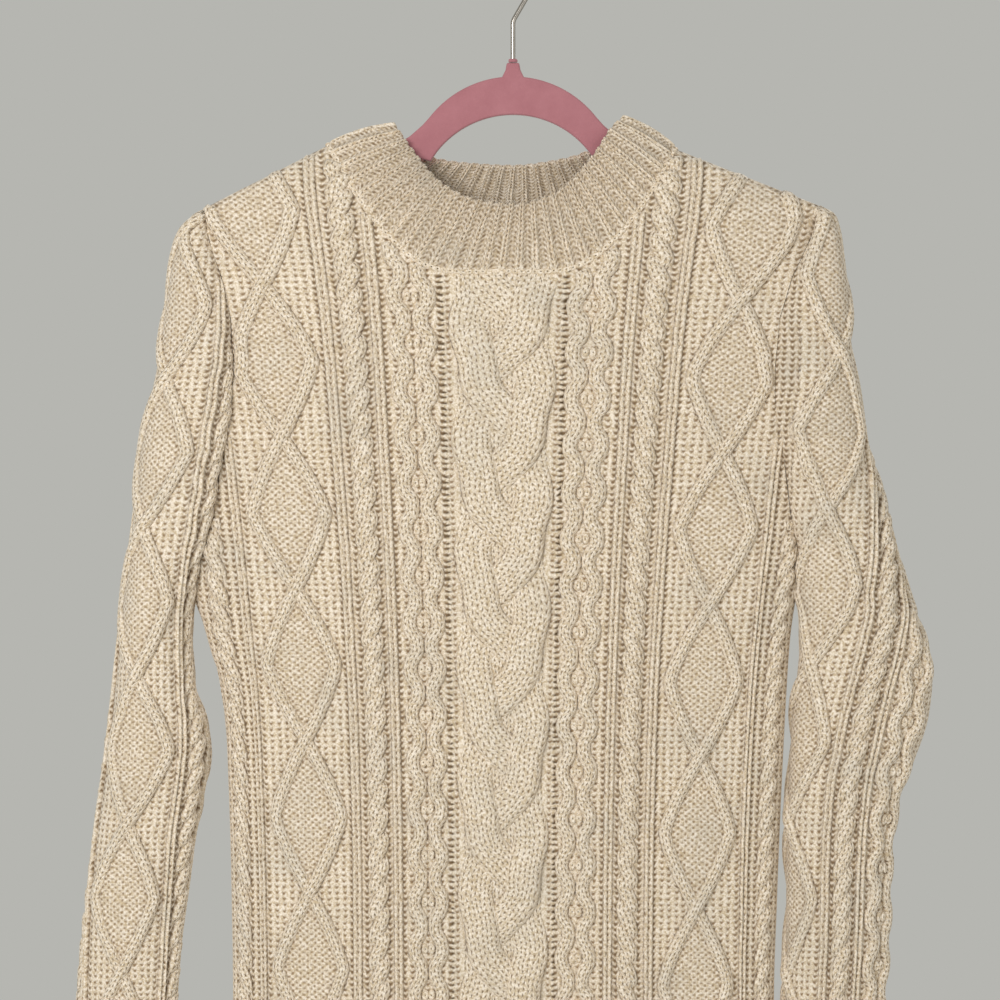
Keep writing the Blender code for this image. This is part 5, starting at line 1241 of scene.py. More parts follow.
def make_collar(name, collar):
    """The 1x1 ribbed mock neck, with a rolled edge and ribs on both faces."""
    knit = Knit()
    fine = 8                  # points to a rib
    front, back = (COLLAR_RIBS[face] * fine for face in (FRONT, BACK))
    place = np.concatenate([np.arange(front) / front, 1 + np.arange(back + 1) / back])
    ribs = np.concatenate([np.arange(front), front + np.arange(back + 1)]) / fine
    wave, rib_share = rib_wave(ribs + 0.5)
    inner_wave, inner_share = rib_wave(ribs)
    # Rows up the outer face, over the rolled edge and down the inner face
    rows = [Roll(share, 0.0, 1.0) for share in np.linspace(0, 1, 19)]
    rows += [*COLLAR_ROLL, *(Roll(share, -WALL, -1.0) for share in np.linspace(1, 0, 10))]
    shares, level, face = np.array(rows).T
    fade = np.clip(shares / 0.06, 0.15, 1)[:, None]
    scallop = COLLAR_SCALLOP * wave[None, :] * (shares[:, None] > 1)
    raised = np.where(face[:, None] > 0, face[:, None] * wave, face[:, None] * inner_wave)
    height = level[:, None] + COLLAR_RIB * fade * raised
    points = collar.at(place[None, :], shares[:, None] + scallop, height)
    knit_share = np.where(face[:, None] > 0, rib_share, inner_share)
    none = np.zeros_like(knit_share)
    kind = np.stack([knit_share, none, RIB_SHADE * (1 - knit_share), none], axis=-1)
    along = np.where(face > 0, shares, 2 * shares.max() - shares) * COLLAR_HEIGHT / COLLAR_ROW
    uv = np.stack(np.broadcast_arrays((ribs * 2 + 0.5)[None, :], along[:, None]), axis=-1)
    number = knit.add(points, uv, kind)
    number[:, -1] = number[:, 0]
    knit.quads(np.concatenate([number, number[:1]]))
    flat = collar.at(place[None, ::4], np.linspace(0, 1, 5)[:, None])
    return knit.object(name, WOOL, 70), cut_size(flat)


def arc_points(centre, radius, start, stop, count):
    """Points of an arc between two angles in degrees."""
    angle = np.radians(np.linspace(start, stop, count))
    return [(centre[0] + radius * math.cos(a), centre[1] + radius * math.sin(a)) for a in angle]


def hanger_edges():
    """Facing points of the hanger's upper and lower edges, left to right, as X and Z."""
    outer_centre = (0, ARCH_OUTER[0] - ARCH_OUTER[1])
    inner_centre = (0, ARCH_INNER[0] - ARCH_INNER[1])
    tip_radius = ARM_DEEP / 2
    slope = math.atan(ARM_SLOPE)
    along, across = (math.cos(slope), -math.sin(slope)), (-math.sin(slope), -math.cos(slope))
    top_end = (ARM_END - tip_radius, ARM_Z - ARM_SLOPE * (ARM_END - tip_radius - ARM_START))
    # Right half, from the boss out to the arm's tip
    upper = [(0, BOSS_TOP), *((BOSS_HALF + x, BOSS_TOP + z) for x, z in BOSS_CORNER)]
    under_boss = (0, 1.2, 2.4, 3.6, 4.8)
    lower = [(x, inner_centre[1] + math.sqrt(ARCH_INNER[1] ** 2 - x * x)) for x in under_boss]
    foot = math.degrees(math.acos(BOSS_FOOT / ARCH_OUTER[1]))
    upper += arc_points(outer_centre, ARCH_OUTER[1], foot, 90 - ARCH_TURN, 30)
    lower += arc_points(inner_centre, ARCH_INNER[1], foot, 90 - ARCH_TURN, 30)
    leave = upper[-1]
    flare = [(leave[0] + x, leave[1] + z) for x, z in FLARE_TOP]
    upper += [*flare, (ARM_START, ARM_Z)]
    lower += [(lower[-1][0] + 4.5, lower[-1][1] - 6.5)]
    lower += [(top[0] + x, top[1] + z) for top, (x, z) in zip(flare[1:], FLARE_FOOT)]
    lower += [(ARM_START - 5, ARM_Z - ARM_DEEP + 0.5)]
    for share in np.linspace(0, 1, 9)[1:]:
        point = (ARM_START + (top_end[0] - ARM_START) * share, ARM_Z + (top_end[1] - ARM_Z) * share)
        upper.append(point)
        lower.append((point[0] + across[0] * ARM_DEEP, point[1] + across[1] * ARM_DEEP))
    middle = ((upper[-1][0] + lower[-1][0]) / 2, (upper[-1][1] + lower[-1][1]) / 2)
    for turn in (15, 30, 45, 60, 75):
        for edge, sign in ((upper, 1), (lower, -1)):
            angle = math.radians(90 - turn) * sign
            edge.append((
                middle[0] + tip_radius * (along[0] * math.cos(angle) - across[0] * math.sin(angle)),
                middle[1] + tip_radius * (along[1] * math.cos(angle) - across[1] * math.sin(angle)),
            ))
    mirror = [[(-x, z) for x, z in edge[:0:-1]] for edge in (upper, lower)]
    return np.array(mirror[0] + upper), np.array(mirror[1] + lower)


def make_hanger(name):
    """The moulded hanger, with its edges rolled over on both faces."""
    upper, lower = hanger_edges()
    outline = np.concatenate([upper, lower[::-1]])
    ahead = unit(np.roll(outline, -1, axis=0) - outline)
    behind = unit(outline - np.roll(outline, 1, axis=0))
    tangent = unit(ahead + behind)
    inward = np.stack([tangent[:, 1], -tangent[:, 0]], axis=1)
    steps = [
        (PLATE_ROUND * (1 - math.sin(turn)) - PLATE / 2, PLATE_ROUND * (1 - math.cos(turn)))
        for turn in np.radians(np.linspace(90, 0, 6))
    ]
    steps += [(-y, inset) for y, inset in steps[::-1]]
    rings = []
    for y, inset in steps:
        ring = outline + inward * inset
        rings.append(np.stack([ring[:, 0], np.full(len(ring), y), ring[:, 1]], axis=1))
    knit = Knit()
    number = knit.add(np.array(rings), (0, 0), (0, 0, 0, 0))
    knit.quads(np.concatenate([number, number[:, :1]], axis=1))
    half = len(upper)
    for ring in (number[0], number[-1]):
        knit.quads(np.stack([ring[:half], ring[:half - 1:-1]]))
    return knit.object(name, FLOCK, 50)


def make_ferrule(name):
    """The round sleeve at the wire's foot, a hair above the boss."""
    foot, half = BOSS_TOP + SEAM_GAP, FERRULE / 2
    profile = (
        (foot, 0.2), (foot, half - 0.4), (foot + 0.4, half),
        (BOSS_TOP + 2.0, half), (BOSS_TOP + 2.6, half - 0.5), (BOSS_TOP + 2.7, 0.2),
    )
    angle = np.linspace(0, 2 * math.pi, 33)[:-1]
    rings = [np.stack([r * np.cos(angle), r * np.sin(angle), 0 * angle + z], axis=1) for z, r in profile]
    knit = Knit()
    knit.tube(knit.add(np.array(rings), (0, 0), (0, 0, 0, 0)))
    return knit.object(name, FLOCK, 40)


def hook_path():
    """The wire's middle line, from the ferrule up round the loop, as X and Z."""
    centre = (0, -LOOP_RADIUS + WIRE / 2)
    join = arc_points(centre, LOOP_RADIUS, LOOP_START, LOOP_START, 1)[0]
    bend_z = join[1] + join[0] / math.tan(math.radians(LOOP_START))
    reach = -BEND_RADIUS * math.tan(math.radians(LOOP_START / 2))
    path = [(0, BOSS_TOP + SEAM_GAP + 0.3), (0, (BOSS_TOP + bend_z) / 2), (0, bend_z - reach)]
    path += arc_points((BEND_RADIUS, bend_z - reach), BEND_RADIUS, 176, 150, 7)
    return path + arc_points(centre, LOOP_RADIUS, LOOP_START, LOOP_END, 72)


def node(tree, kind, settings=None, links=None):
    """Add a node, with its settings by name and its inputs by socket as values or links."""
    made = tree.nodes.new(kind)
    for name, value in (settings or {}).items():
        setattr(made, name, value)
    for socket, value in (links or {}).items():
        if isinstance(value, bpy.types.NodeSocket):
            tree.links.new(value, made.inputs[socket])
        else:
            made.inputs[socket].default_value = value
    return made


def geometry_tree(name, **inputs):
    """A group that takes and gives geometry, with the kind of each of its other inputs."""
    tree = bpy.data.node_groups.new(name, "GeometryNodeTree")
    for key, kind in {"Geometry": "Geometry", **inputs}.items():
        tree.interface.new_socket(key, in_out="INPUT", socket_type="NodeSocket" + kind)
    tree.interface.new_socket("Geometry", in_out="OUTPUT", socket_type="NodeSocketGeometry")
    return tree


def wire_tree(finish):
    """Geometry nodes that sweep a round wire along a drawn path."""
    tree = geometry_tree("swept wire", Radius="Float", Sides="Int")
    given = node(tree, "NodeGroupInput")
    path = node(tree, "GeometryNodeMeshToCurve", links={0: given.outputs["Geometry"]})
    ring = node(tree, "GeometryNodeCurvePrimitiveCircle", {"mode": "RADIUS"}, {
        "Resolution": given.outputs["Sides"], "Radius": given.outputs["Radius"],
    })
    swept = node(tree, "GeometryNodeCurveToMesh", links={
        "Curve": path.outputs[0], "Profile Curve": ring.outputs[0], "Fill Caps": True,
    })
    real = node(tree, "GeometryNodeRealizeInstances", links={0: swept.outputs[0]})
    set_it = node(tree, "GeometryNodeSetMaterial", links={
        "Geometry": real.outputs[0], "Material": finish,
    })
    node(tree, "NodeGroupOutput", links={0: set_it.outputs[0]})
    return tree


def loop_tree(finish):
    """Geometry nodes that set a small ring of yarn, turned a little at random, at every point."""
    tree = geometry_tree("yarn loops", Loop="Float", Yarn="Float", Unevenness="Float", Seed="Int")
    given = node(tree, "NodeGroupInput").outputs
    ring, yarn = (
        node(tree, "GeometryNodeCurvePrimitiveCircle", {"mode": "RADIUS"}, {
            "Resolution": sides, "Radius": given[radius],
        })
        for sides, radius in ((9, "Loop"), (5, "Yarn"))
    )
    loop = node(tree, "GeometryNodeCurveToMesh", links={
        "Curve": ring.outputs[0], "Profile Curve": yarn.outputs[0],
    })
    facing, along, stretch = (
        node(tree, "GeometryNodeInputNamedAttribute", {"data_type": "FLOAT_VECTOR"}, {
            "Name": name,
        }).outputs[0]
        for name in ("facing", "along", "stretch")
    )
    upright = node(tree, "FunctionNodeAlignRotationToVector", {"axis": "Z"}, {"Vector": facing})
    turned = node(tree, "FunctionNodeAlignRotationToVector", {"axis": "X", "pivot_axis": "Z"}, {
        "Rotation": upright.outputs[0], "Vector": along,
    })
    low, high = (
        node(tree, "ShaderNodeVectorMath", {"operation": "SCALE"}, {
            0: (way, way, way), 3: given["Unevenness"],
        })
        for way in (-1, 1)
    )
    chance = node(tree, "FunctionNodeRandomValue", {"data_type": "FLOAT_VECTOR"}, {
        0: low.outputs[0], 1: high.outputs[0], "Seed": given["Seed"],
    })
    nudge = node(tree, "FunctionNodeEulerToRotation", links={0: chance.outputs[0]})
    final = node(tree, "FunctionNodeRotateRotation", links={0: turned.outputs[0], 1: nudge.outputs[0]})
    spread = node(tree, "GeometryNodeInstanceOnPoints", links={
        "Points": given["Geometry"], "Instance": loop.outputs[0], "Rotation": final.outputs[0],
        "Scale": stretch,
    })
    real = node(tree, "GeometryNodeRealizeInstances", links={0: spread.outputs[0]})
    # Every loop takes the colour of a knit stitch's crest, clear of the painted gap shade, with a little
    # painted shade
    kind = node(tree, "GeometryNodeStoreNamedAttribute", {"data_type": "FLOAT_COLOR", "domain": "POINT"}, {
        "Geometry": real.outputs[0], "Name": "kind", "Value": (1.0, 0.0, 0.15, 0.0),
    })
    stitch = node(tree, "GeometryNodeStoreNamedAttribute", {"data_type": "FLOAT2", "domain": "CORNER"}, {
        "Geometry": kind.outputs[0], "Name": "Stitch", "Value": (0.25, 0.9, 0.0),
    })
    set_it = node(tree, "GeometryNodeSetMaterial", links={
        "Geometry": stitch.outputs[0], "Material": finish,
    })
    node(tree, "NodeGroupOutput", links={0: set_it.outputs[0]})
    return tree


def make_loops(name, places, facing, along, stretch, radius, seed):
    """A ring of yarn at each place, lying on the cloth that it faces away from."""
    base = bpy.data.meshes.new(name + " places")
    base.from_pydata((np.array(places) * MM).tolist(), [], [])
    for key, vectors in (("facing", facing), ("along", along), ("stretch", stretch)):
        layer = base.attributes.new(key, "FLOAT_VECTOR", "POINT")
        values = np.broadcast_to(vectors, (len(places), 3)).astype(np.float32)
        layer.data.foreach_set("vector", values.ravel())
    return grown(name, base, loop_tree(bpy.data.materials[WOOL]), {
        "Loop": radius * MM, "Yarn": YARN_RADIUS * MM, "Unevenness": LOOP_UNEVEN, "Seed": seed,
    })


def ring_loops(name, form, seed):
    """The two purl bumps that show in the middle of each ring of the chains."""
    places, facing = [], []
    for column in form.columns:
        if column.kind == "chain":
            first = math.ceil((LOOPS_FROM - column.start) / column.pitch)
            rise = column.start + column.pitch * np.arange(first, first + 40)
            rise = np.repeat(rise[rise < form.end - LOOPS_SHORT], 2)
            across = column.place + np.tile((-PURL_APART, PURL_APART), len(rise) // 2)
            clear = form.room(across, rise) > LOOPS_CLEAR
            wave = form.lift(across, rise)
            low, high = (form.at(across, rise, wave + up)[clear] for up in (1.0, 2.0))
            places.append(low)
            facing.append(high - low)
    places, facing = np.concatenate(places), np.concatenate(facing)
    return make_loops(name, places, facing, (0, 0, 1), RING_STRETCH, RING_LOOP, seed)


def neck_loops(name, collar):
    """The line of loops where the collar's stitches were picked up."""
    count = len(collar.loop.outer)
    ring, normals = (
        values[np.arange(count + 1) % count] for values in (collar.loop.outer, collar.loop.normals)
    )
    arc = travelled(ring)
    at = np.linspace(0, arc[-1], round(arc[-1] / (NECK_PITCH * gauge()[0])), endpoint=False)
    places, facing, ahead = (
        np.stack([np.interp(spot, arc, values[:, i]) for i in range(3)], axis=1)
        for spot, values in ((at, ring), (at, normals), ((at + 1) % arc[-1], ring))
    )
    facing = unit(facing)
    places, ahead = places + facing * NECK_LIFT, ahead - places
    return make_loops(name, places, facing, ahead, NECK_STRETCH, NECK_LOOP, 5)


def grown(name, base, tree, inputs):
    """Run a tree on a mesh, with its inputs by name, and keep the result as a plain mesh."""
    source = placed(name + "_source", base)
    modifier = source.modifiers.new("nodes", "NODES")
    modifier.node_group = tree
    for key, value in inputs.items():
        modifier[tree.interface.items_tree[key].identifier] = value
    depsgraph = bpy.context.evaluated_depsgraph_get()
    mesh = bpy.data.meshes.new_from_object(source.evaluated_get(depsgraph), depsgraph=depsgraph)
    bpy.data.objects.remove(source)
    mesh.shade_smooth()
    mesh.set_sharp_from_angle(angle=math.radians(40))
    return placed(name, mesh)


# Materials


def empty_material(name):
    """The node tree of a new material, with no nodes in it."""
    made = bpy.data.materials.new(name)
    made.use_nodes = True
    made.node_tree.nodes.clear()
    return made.node_tree


def wool_material():
    """Plied aran wool: matt, marled in two creams, with painted shade in the gaps between its stitches."""
    yarn = bpy.context.scene.dress_yarn
    tree = empty_material(WOOL)
    stitch = node(tree, "ShaderNodeUVMap", {"uv_map": "Stitch"})
    along = node(tree, "ShaderNodeSeparateXYZ", links={0: stitch.outputs[0]})
    kind = node(tree, "ShaderNodeAttribute", {"attribute_name": "kind"})
    shares = node(tree, "ShaderNodeSeparateColor", links={0: kind.outputs["Color"]})
    place = node(tree, "ShaderNodeTexCoord").outputs["Object"]
    uneven, fibre, twist, patch = (
        node(tree, "ShaderNodeTexNoise", links={
            "Vector": place, "Scale": scale, "Detail": detail, "Roughness": roughness,
        }).outputs["Fac"]
        # Wandering stitches, fibres drawn 0.7 mm coarse so that they show, plies, and rubbed patches
        for scale, detail, roughness in (
            (110.0, 1.0, 0.5), (1400.0, 2.0, 0.7), (560.0, 3.0, 0.8), (24.0, 4.0, 0.6),
        )
    )
    found = {
        "across": along.outputs[0], "up": along.outputs[1], "uneven": uneven, "fibre": fibre,
        "knit share": shares.outputs[0], "moss share": shares.outputs[1], "shade": shares.outputs[2],
        "ladder share": kind.outputs["Alpha"],
    }
    # Each row works out one value from earlier ones. Heights run from 0 in a gap to 1 on the yarn, and the
    # colour darkens with them into painted shade
    for name, operation, *values in (
        ("wander", "MULTIPLY_ADD", "uneven", 0.6, -0.3),
        ("u", "ADD", "across", "wander"),
        ("v", "ADD", "up", "wander"),
        ("u turn", "MULTIPLY", "u", 2 * math.pi),
        # Knit: two legs slant up and out from the middle of each stitch
        ("part", "FRACT", "u"),
        ("doubled", "MULTIPLY_ADD", "part", 2.0, -1.0),
        ("from middle", "ABSOLUTE", "doubled"),
        ("slant", "MULTIPLY_ADD", "from middle", -1.5, "v"),
        ("slant turn", "MULTIPLY", "slant", 2 * math.pi),
        ("leg wave", "COSINE", "slant turn"),
        ("leg raw", "MULTIPLY_ADD", "leg wave", -0.5, 0.5),
        ("leg", "POWER", "leg raw", 0.6),
        ("groove", "SUBTRACT", 1.0, "leg"),
        ("wale wave", "SINE", "u turn"),
        ("wale size", "ABSOLUTE", "wale wave"),
        ("wale edge", "SUBTRACT", 1.0, "wale size"),
        ("corner share", "MULTIPLY_ADD", "wale edge", 0.6, 0.15),
        ("corner", "MULTIPLY", "groove", "corner share"),
        ("knit dark", "MULTIPLY_ADD", "wale edge", 0.32, "corner"),
        ("knit", "SUBTRACT", 1.0, "knit dark"),
        # Purl: bars in waves along each row, with a hole at the foot of each wave
        ("bar wave", "COSINE", "u turn"),
        ("bar place", "MULTIPLY_ADD", "bar wave", 0.2, "v"),
        ("bar turn", "MULTIPLY", "bar place", 2 * math.pi),
        ("bar raw", "COSINE", "bar turn"),
        ("bar low", "MULTIPLY_ADD", "bar raw", 0.5, 0.5),
        ("hole share", "MULTIPLY_ADD", "bar wave", 0.34, 0.54),
        ("purl dark", "MULTIPLY", "bar low", "hole share"),
        ("purl", "SUBTRACT", 0.97, "purl dark"),
        # Moss: beads and holes set like the squares of a board
        ("v turn", "MULTIPLY", "v", 2 * math.pi),
        ("bead up", "COSINE", "v turn"),
        ("bead", "MULTIPLY", "bar wave", "bead up"),
        ("bead high", "MULTIPLY_ADD", "bead", 0.42, 0.36),
        ("moss", "MULTIPLY_ADD", "purl", 0.35, "bead high"),
        # The stitches of each kind, sunk and darkened with painted shade where a strand lies beside them,
        # and in the ladders' open holes
        ("moss over purl", "SUBTRACT", "moss", "purl"),
        ("ground", "MULTIPLY_ADD", "moss share", "moss over purl", "purl"),
        ("knit over ground", "SUBTRACT", "knit", "ground"),
        ("level", "MULTIPLY_ADD", "knit share", "knit over ground", "ground"),
        ("rung place", "MULTIPLY_ADD", "uneven", 4.0, "v turn"),
        ("rung wave", "COSINE", "rung place"),
        ("rung low", "MULTIPLY_ADD", "rung wave", 0.5, 0.5),
        ("rung hole", "POWER", "rung low", 2.0),
        ("hole", "MULTIPLY", "rung hole", "ladder share"),
        ("hole left", "MULTIPLY_ADD", "hole", -0.85, 1.0),
        ("shade left", "MULTIPLY_ADD", "shade", -0.5, 1.0),
        ("rung level", "MULTIPLY", "level", "hole left"),
        ("shaded level", "MULTIPLY", "rung level", "shade left"),
        ("height", "MULTIPLY_ADD", "fibre", 0.28, "shaded level"),
        ("gap", "SUBTRACT", 0.75, "shaded level"),
        ("open gap", "MULTIPLY", "gap", "shade"),
        ("deep", "MULTIPLY_ADD", "hole", 0.9, "open gap"),
    ):
        inputs = {i: found.get(value, value) for i, value in enumerate(values)}
        found[name] = node(tree, "ShaderNodeMath", {"operation": operation}, inputs).outputs[0]
    # The darker cream with the paler twisted in, then greyer where it has rubbed
    twisted = node(tree, "ShaderNodeMapRange", links={0: twist, 1: 0.4, 2: 0.6})
    rubbed = node(tree, "ShaderNodeMapRange", links={0: patch, 1: 0.5, 2: 0.75, 4: 0.4})
    lit = node(tree, "ShaderNodeMapRange", {"interpolation_type": "SMOOTHSTEP"}, {
        0: found["shaded level"], 1: 0.05, 2: 0.72,
    })
    # How far the colour goes to the painted shade of the holes: in the ladders' holes, and where strands
    # shade the ground
    deep = node(tree, "ShaderNodeClamp", links={0: found["deep"]})
    colour = (*yarn.dark_ply, 1)
    for share, over in ((twisted, yarn.light_ply), (rubbed, yarn.rubbed_ply)):
        colour = node(tree, "ShaderNodeMix", {"data_type": "RGBA"}, {
            0: share.outputs[0], 6: colour, 7: (*over, 1),
        }).outputs[2]
    # Painted shade: darker down between the stitches and beside the strands, and darkest in the open holes
    gap_shaded = node(tree, "ShaderNodeMix", {"data_type": "RGBA"}, {
        0: lit.outputs[0], 6: (*yarn.painted_gap_shade, 1), 7: colour,
    })
    hole_shaded = node(tree, "ShaderNodeMix", {"data_type": "RGBA"}, {
        0: deep.outputs[0], 6: gap_shaded.outputs[2], 7: (*yarn.painted_hole_shade, 1),
    })
    bump = node(tree, "ShaderNodeBump", links={
        "Strength": 1.0, "Distance": 0.0009, "Height": found["height"],
    })
    shader = node(tree, "ShaderNodeBsdfPrincipled", links={
        "Base Color": hole_shaded.outputs[2], "Roughness": 0.92, "Normal": bump.outputs[0],
        "Sheen Weight": 0.2, "Sheen Roughness": 0.6, "Specular IOR Level": 0.15,
    })
    node(tree, "ShaderNodeOutputMaterial", links={0: shader.outputs[0]})


def flock_material():
    """Electrostatic nylon flock: short upright fibres, velvety with a pale sheen at its edges."""
    hanger = bpy.context.scene.dress_hanger
    tree = empty_material(FLOCK)
    place = node(tree, "ShaderNodeTexCoord")
    # Flock fibres are 0.02 mm thick, and are drawn as grains of 0.5 mm so that they show
    grain = node(tree, "ShaderNodeTexNoise", links={
        "Vector": place.outputs["Object"], "Scale": 2000.0, "Detail": 2.0,
    })
    patch = node(tree, "ShaderNodeTexNoise", links={
        "Vector": place.outputs["Object"], "Scale": 70.0, "Detail": 4.0, "Roughness": 0.65,
    })
    brushed = node(tree, "ShaderNodeMapRange", links={0: patch.outputs["Fac"], 1: 0.3, 2: 0.75})
    colour = node(tree, "ShaderNodeMix", {"data_type": "RGBA"}, {
        0: brushed.outputs[0], 6: (*hanger.flock_dark, 1), 7: (*hanger.flock_light, 1),
    })
    bump = node(tree, "ShaderNodeBump", links={
        "Strength": 0.5, "Distance": 0.0003, "Height": grain.outputs["Fac"],
    })
    shader = node(tree, "ShaderNodeBsdfPrincipled", links={
        "Base Color": colour.outputs[2], "Roughness": 0.95, "Normal": bump.outputs[0],
        "Sheen Weight": 0.5, "Sheen Roughness": 0.4, "Specular IOR Level": 0.1,
    })
    node(tree, "ShaderNodeOutputMaterial", links={0: shader.outputs[0]})


def steel_material():
    """Nickel-plated steel wire: bright, with faint drawing lines along it."""
    tree = empty_material(STEEL)
    place = node(tree, "ShaderNodeTexCoord")
    stretch = node(tree, "ShaderNodeMapping", links={
        "Vector": place.outputs["Object"], "Scale": (30.0, 30.0, 1.0),
    })
    lines = node(tree, "ShaderNodeTexNoise", links={
        "Vector": stretch.outputs[0], "Scale": 60.0, "Detail": 2.0,
    })
    rough = node(tree, "ShaderNodeMapRange", links={0: lines.outputs["Fac"], 3: 0.14, 4: 0.22})
    shader = node(tree, "ShaderNodeBsdfPrincipled", links={
        "Base Color": (*linear("A8A29A"), 1), "Metallic": 1.0, "Roughness": rough.outputs[0],
    })
    node(tree, "ShaderNodeOutputMaterial", links={0: shader.outputs[0]})


def paper_material():
    """Seamless studio paper: matt, with the faintest grain."""
    stage = bpy.context.scene.dress_stage
    tree = empty_material(PAPER)
    place = node(tree, "ShaderNodeTexCoord")
    grain = node(tree, "ShaderNodeTexNoise", links={"Vector": place.outputs["Object"], "Scale": 40.0})
    shade = node(tree, "ShaderNodeMapRange", links={0: grain.outputs["Fac"], 3: 0.97, 4: 1.0})
    tone = node(tree, "ShaderNodeMix", {"data_type": "RGBA", "blend_type": "MULTIPLY"}, {
        0: 1.0, 6: (*stage.paper, 1), 7: shade.outputs[0],
    })
    shader = node(tree, "ShaderNodeBsdfPrincipled", links={
        "Base Color": tone.outputs[2], "Roughness": 0.9,
    })
    node(tree, "ShaderNodeOutputMaterial", links={0: shader.outputs[0]})


# Settings


class DressYarn(bpy.types.PropertyGroup):
    """The yarn's gauge, its colours and the painted shade of its gaps and holes"""

    stitch_width: bpy.props.FloatProperty(
        name="Stitch Width", description="Width of one knit stitch", default=0.0056, unit="LENGTH"
    )
    row_height: bpy.props.FloatProperty(
        name="Row Height", description="Height of one knitted row", default=0.0042, unit="LENGTH"
    )
    light_ply: bpy.props.FloatVectorProperty(
        name="Light Ply", description="Paler of the yarn's two creams", default=linear("FBEFDF"),
        subtype="COLOR", min=0, max=1,
    )
    dark_ply: bpy.props.FloatVectorProperty(
        name="Dark Ply", description="Darker of the yarn's two creams", default=linear("CCB796"),
        subtype="COLOR", min=0, max=1,
    )
    rubbed_ply: bpy.props.FloatVectorProperty(
        name="Rubbed Ply", description="Greyer yarn where the cloth has rubbed", default=linear("CBC5B8"),
        subtype="COLOR", min=0, max=1,
    )
    # Painted shade in the gaps between the stitches
    painted_gap_shade: bpy.props.FloatVectorProperty(
        name="Gaps", description="Shaded yarn seen between the stitches", default=linear("94795A"),
        subtype="COLOR", min=0, max=1,
    )
    # Painted shade of the inside, seen through the open stitches
    painted_hole_shade: bpy.props.FloatVectorProperty(
        name="Holes", description="Dark inside seen through the open stitches", default=linear("53412A"),
        subtype="COLOR", min=0, max=1,
    )


class DressHanger(bpy.types.PropertyGroup):
    """The hanger's colours and the fineness of its wire"""

    flock_light: bpy.props.FloatVectorProperty(
        name="Light Flock", description="Flock whose nap stands up", default=linear("B47A81"),
        subtype="COLOR", min=0, max=1,
    )
    flock_dark: bpy.props.FloatVectorProperty(
        name="Dark Flock", description="Flock whose nap is brushed down", default=linear("AC7279"),
        subtype="COLOR", min=0, max=1,
    )
    wire_sides: bpy.props.IntProperty(
        name="Wire Sides", description="Faces round the hook's wire", default=20, min=8
    )


class DressStage(bpy.types.PropertyGroup):
    """The colours round the dress"""

    paper: bpy.props.FloatVectorProperty(
        name="Paper", description="Colour of the floor", default=linear("D2D1CC"),
        subtype="COLOR", min=0, max=1,
    )
    sky: bpy.props.FloatVectorProperty(
        name="Surround", description="Colour of the light all round", default=linear("B6B6B1"),
        subtype="COLOR", min=0, max=1,
    )


# Operators


def lay_on(piece):
    """Hang a piece on the frame's one body."""
    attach(piece, "root")


def stand_for(piece, node_name):
    """The same for a piece that takes the place of a solid."""
    lay_on(piece)
    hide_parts(node_name)


class DRESS_OT_stage(bpy.types.Operator):
    """Set the camera at the photograph's place, a pale floor and soft studio light"""

    bl_idname = "dress.stage"
    bl_label = "Stage and Light"

    def execute(self, context):
        scene = context.scene
        lens = bpy.data.cameras.new("camera")
        lens.sensor_width = SENSOR
        lens.lens = SENSOR * CAMERA_AWAY / VIEW_SPAN
        lens.clip_end = 50
        camera = placed("camera", lens)
        camera.location = (VIEW_CENTRE[0] * MM, -CAMERA_AWAY * MM, VIEW_CENTRE[1] * MM)
        camera.rotation_euler = (math.radians(90), 0, 0)
        scene.camera = camera
        scene.view_settings.view_transform = "Standard"

        mesh = bpy.data.meshes.new("floor")
        shape = bmesh.new()
        bmesh.ops.create_circle(shape, cap_ends=True, segments=96, radius=FLOOR_RADIUS)
        bmesh.ops.translate(shape, verts=shape.verts, vec=(0, 0, FLOOR_Z))
        shape.to_mesh(mesh)
        shape.free()
        paper_material()
        mesh.materials.append(bpy.data.materials[PAPER])
        floor = placed("floor", mesh)

        world = bpy.data.worlds.new("surround")
        world.use_nodes = True
        ground = world.node_tree.nodes["Background"]
        ground.inputs["Color"].default_value = (*scene.dress_stage.sky, 1)
        ground.inputs["Strength"].default_value = 1.0
        scene.world = world
        for light in LIGHTS:
            data = bpy.data.lights.new(light.name, "AREA")
            data.energy, data.size = light.energy, light.size
            lamp = placed(light.name, data)
            lamp.location = light.place
            aim = np.array(AIM) - np.array(light.place)
            flat = math.hypot(aim[0], aim[1])
            lamp.rotation_euler = (math.atan2(flat, -aim[2]), 0, math.atan2(-aim[0], aim[1]))
        return {"FINISHED"}


class DRESS_OT_yarn(bpy.types.Operator):
    """Mix the materials of the yarn, the hanger and its hook"""

    bl_idname = "dress.yarn"
    bl_label = "Materials"

    def execute(self, context):
        wool_material()
        flock_material()
        steel_material()
        return {"FINISHED"}


class DRESS_OT_panels(bpy.types.Operator):
    """Knit the front and the back, each with its cables and its ribbed hem"""

    bl_idname = "dress.panels"
    bl_label = "Front and Back"

    def execute(self, context):
        for name, body, fine, step, seed in (
            ("front", FRONT_FORM, 5, 3.0, 1), ("back", BACK_FORM, 4, 3.6, 2)
        ):
            panel, (width, length, area) = make_panel(name + "_knit", body, fine, step)
            cables = make_cables(name + "_cables", body, HEM_RIB - 1.0, LENGTH - DEPTHS[0].drop)
            loops = ring_loops(name + "_loops", body, seed)
            stand_for(panel, name)
            lay_on(cables)
            lay_on(loops)
        return {"FINISHED"}


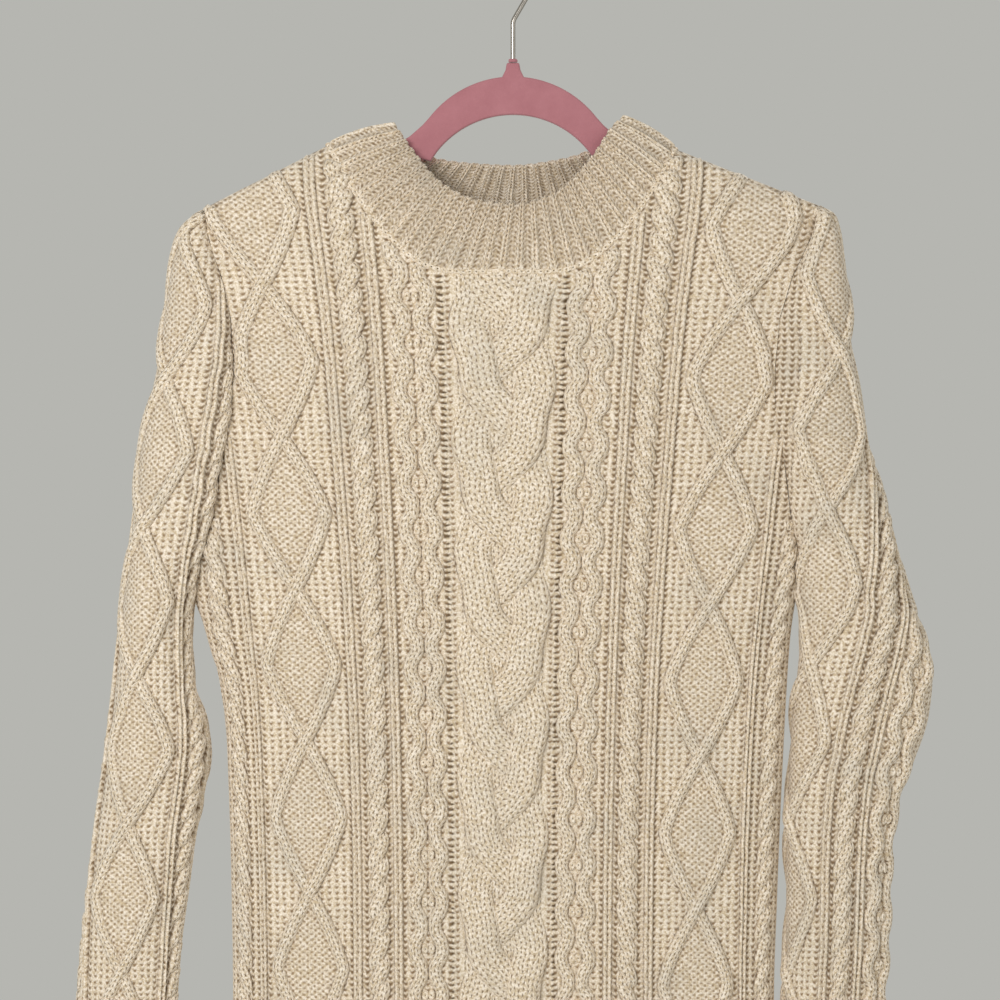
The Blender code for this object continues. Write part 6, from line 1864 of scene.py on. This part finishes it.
class DRESS_OT_sleeves(bpy.types.Operator):
    """Knit the two sleeves, each with its cables and its ribbed cuff"""

    bl_idname = "dress.sleeves"
    bl_label = "Sleeves"

    def execute(self, context):
        for name, side, seed in (("sleeve_left", LEFT, 3), ("sleeve_right", RIGHT, 4)):
            form = SLEEVE_FORMS[side]
            sleeve, (width, length, area) = make_sleeve(name + "_knit", form)
            cables = make_cables(name + "_cables", form, SLEEVE_RIB - 1.0, SLEEVE_END - form.tip)
            loops = ring_loops(name + "_loops", form, seed)
            stand_for(sleeve, name)
            lay_on(cables)
            lay_on(loops)
        return {"FINISHED"}


class DRESS_OT_collar(bpy.types.Operator):
    """Knit the ribbed mock neck"""

    bl_idname = "dress.collar"
    bl_label = "Collar"

    def execute(self, context):
        collar, (width, length, area) = make_collar("collar_knit", COLLAR_FORM)
        loops = neck_loops("neck_loops", COLLAR_FORM)
        stand_for(collar, "collar")
        lay_on(loops)
        return {"FINISHED"}


class DRESS_OT_hanger(bpy.types.Operator):
    """Mould the flocked hanger and bend its wire hook"""

    bl_idname = "dress.hanger"
    bl_label = "Hanger"

    def execute(self, context):
        stand_for(make_hanger("hanger_arms"), "hanger_body")
        base = bpy.data.meshes.new("hook path")
        path = [(x * MM, 0, z * MM) for x, z in hook_path()]
        base.from_pydata(path, [(k, k + 1) for k in range(len(path) - 1)], [])
        hook = grown("hook_wire", base, wire_tree(bpy.data.materials[STEEL]), {
            "Radius": WIRE / 2 * MM, "Sides": context.scene.dress_hanger.wire_sides,
        })
        stand_for(hook, "hanger_hook")
        lay_on(make_ferrule("hook_ferrule"))
        return {"FINISHED"}


class DRESS_PT_panel(bpy.types.Panel):
    """Lists the dress's settings and its pieces"""

    bl_idname = "DRESS_PT_panel"
    bl_label = "Sweater Dress"
    bl_space_type = "VIEW_3D"
    bl_region_type = "UI"
    bl_category = "Dress"

    def draw(self, context):
        for settings in (context.scene.dress_yarn, context.scene.dress_hanger, context.scene.dress_stage):
            box = self.layout.box()
            for name in settings.__annotations__:
                box.prop(settings, name)
        for step in STEPS:
            self.layout.operator(step.bl_idname)


SETTINGS = {"dress_yarn": DressYarn, "dress_hanger": DressHanger, "dress_stage": DressStage}
STEPS = (DRESS_OT_stage, DRESS_OT_yarn, DRESS_OT_panels, DRESS_OT_sleeves, DRESS_OT_collar, DRESS_OT_hanger)
FRONT_FORM, BACK_FORM = Body(FRONT), Body(BACK)
SLEEVE_FORMS = {side: Sleeve(side, FRONT_FORM, BACK_FORM) for side in (LEFT, RIGHT)}
COLLAR_FORM = Collar(FRONT_FORM, BACK_FORM)


def register():
    for kind in (*SETTINGS.values(), *STEPS, DRESS_PT_panel):
        bpy.utils.register_class(kind)
    for name, kind in SETTINGS.items():
        setattr(bpy.types.Scene, name, bpy.props.PointerProperty(type=kind))


def unregister():
    for name in SETTINGS:
        delattr(bpy.types.Scene, name)
    for kind in (DRESS_PT_panel, *reversed(STEPS), *SETTINGS.values()):
        bpy.utils.unregister_class(kind)


def main():
    register()
    bpy.ops.dress.stage()
    bpy.ops.dress.yarn()
    bpy.ops.dress.panels()
    bpy.ops.dress.sleeves()
    bpy.ops.dress.collar()
    bpy.ops.dress.hanger()


if __name__ == "__main__":
    main()
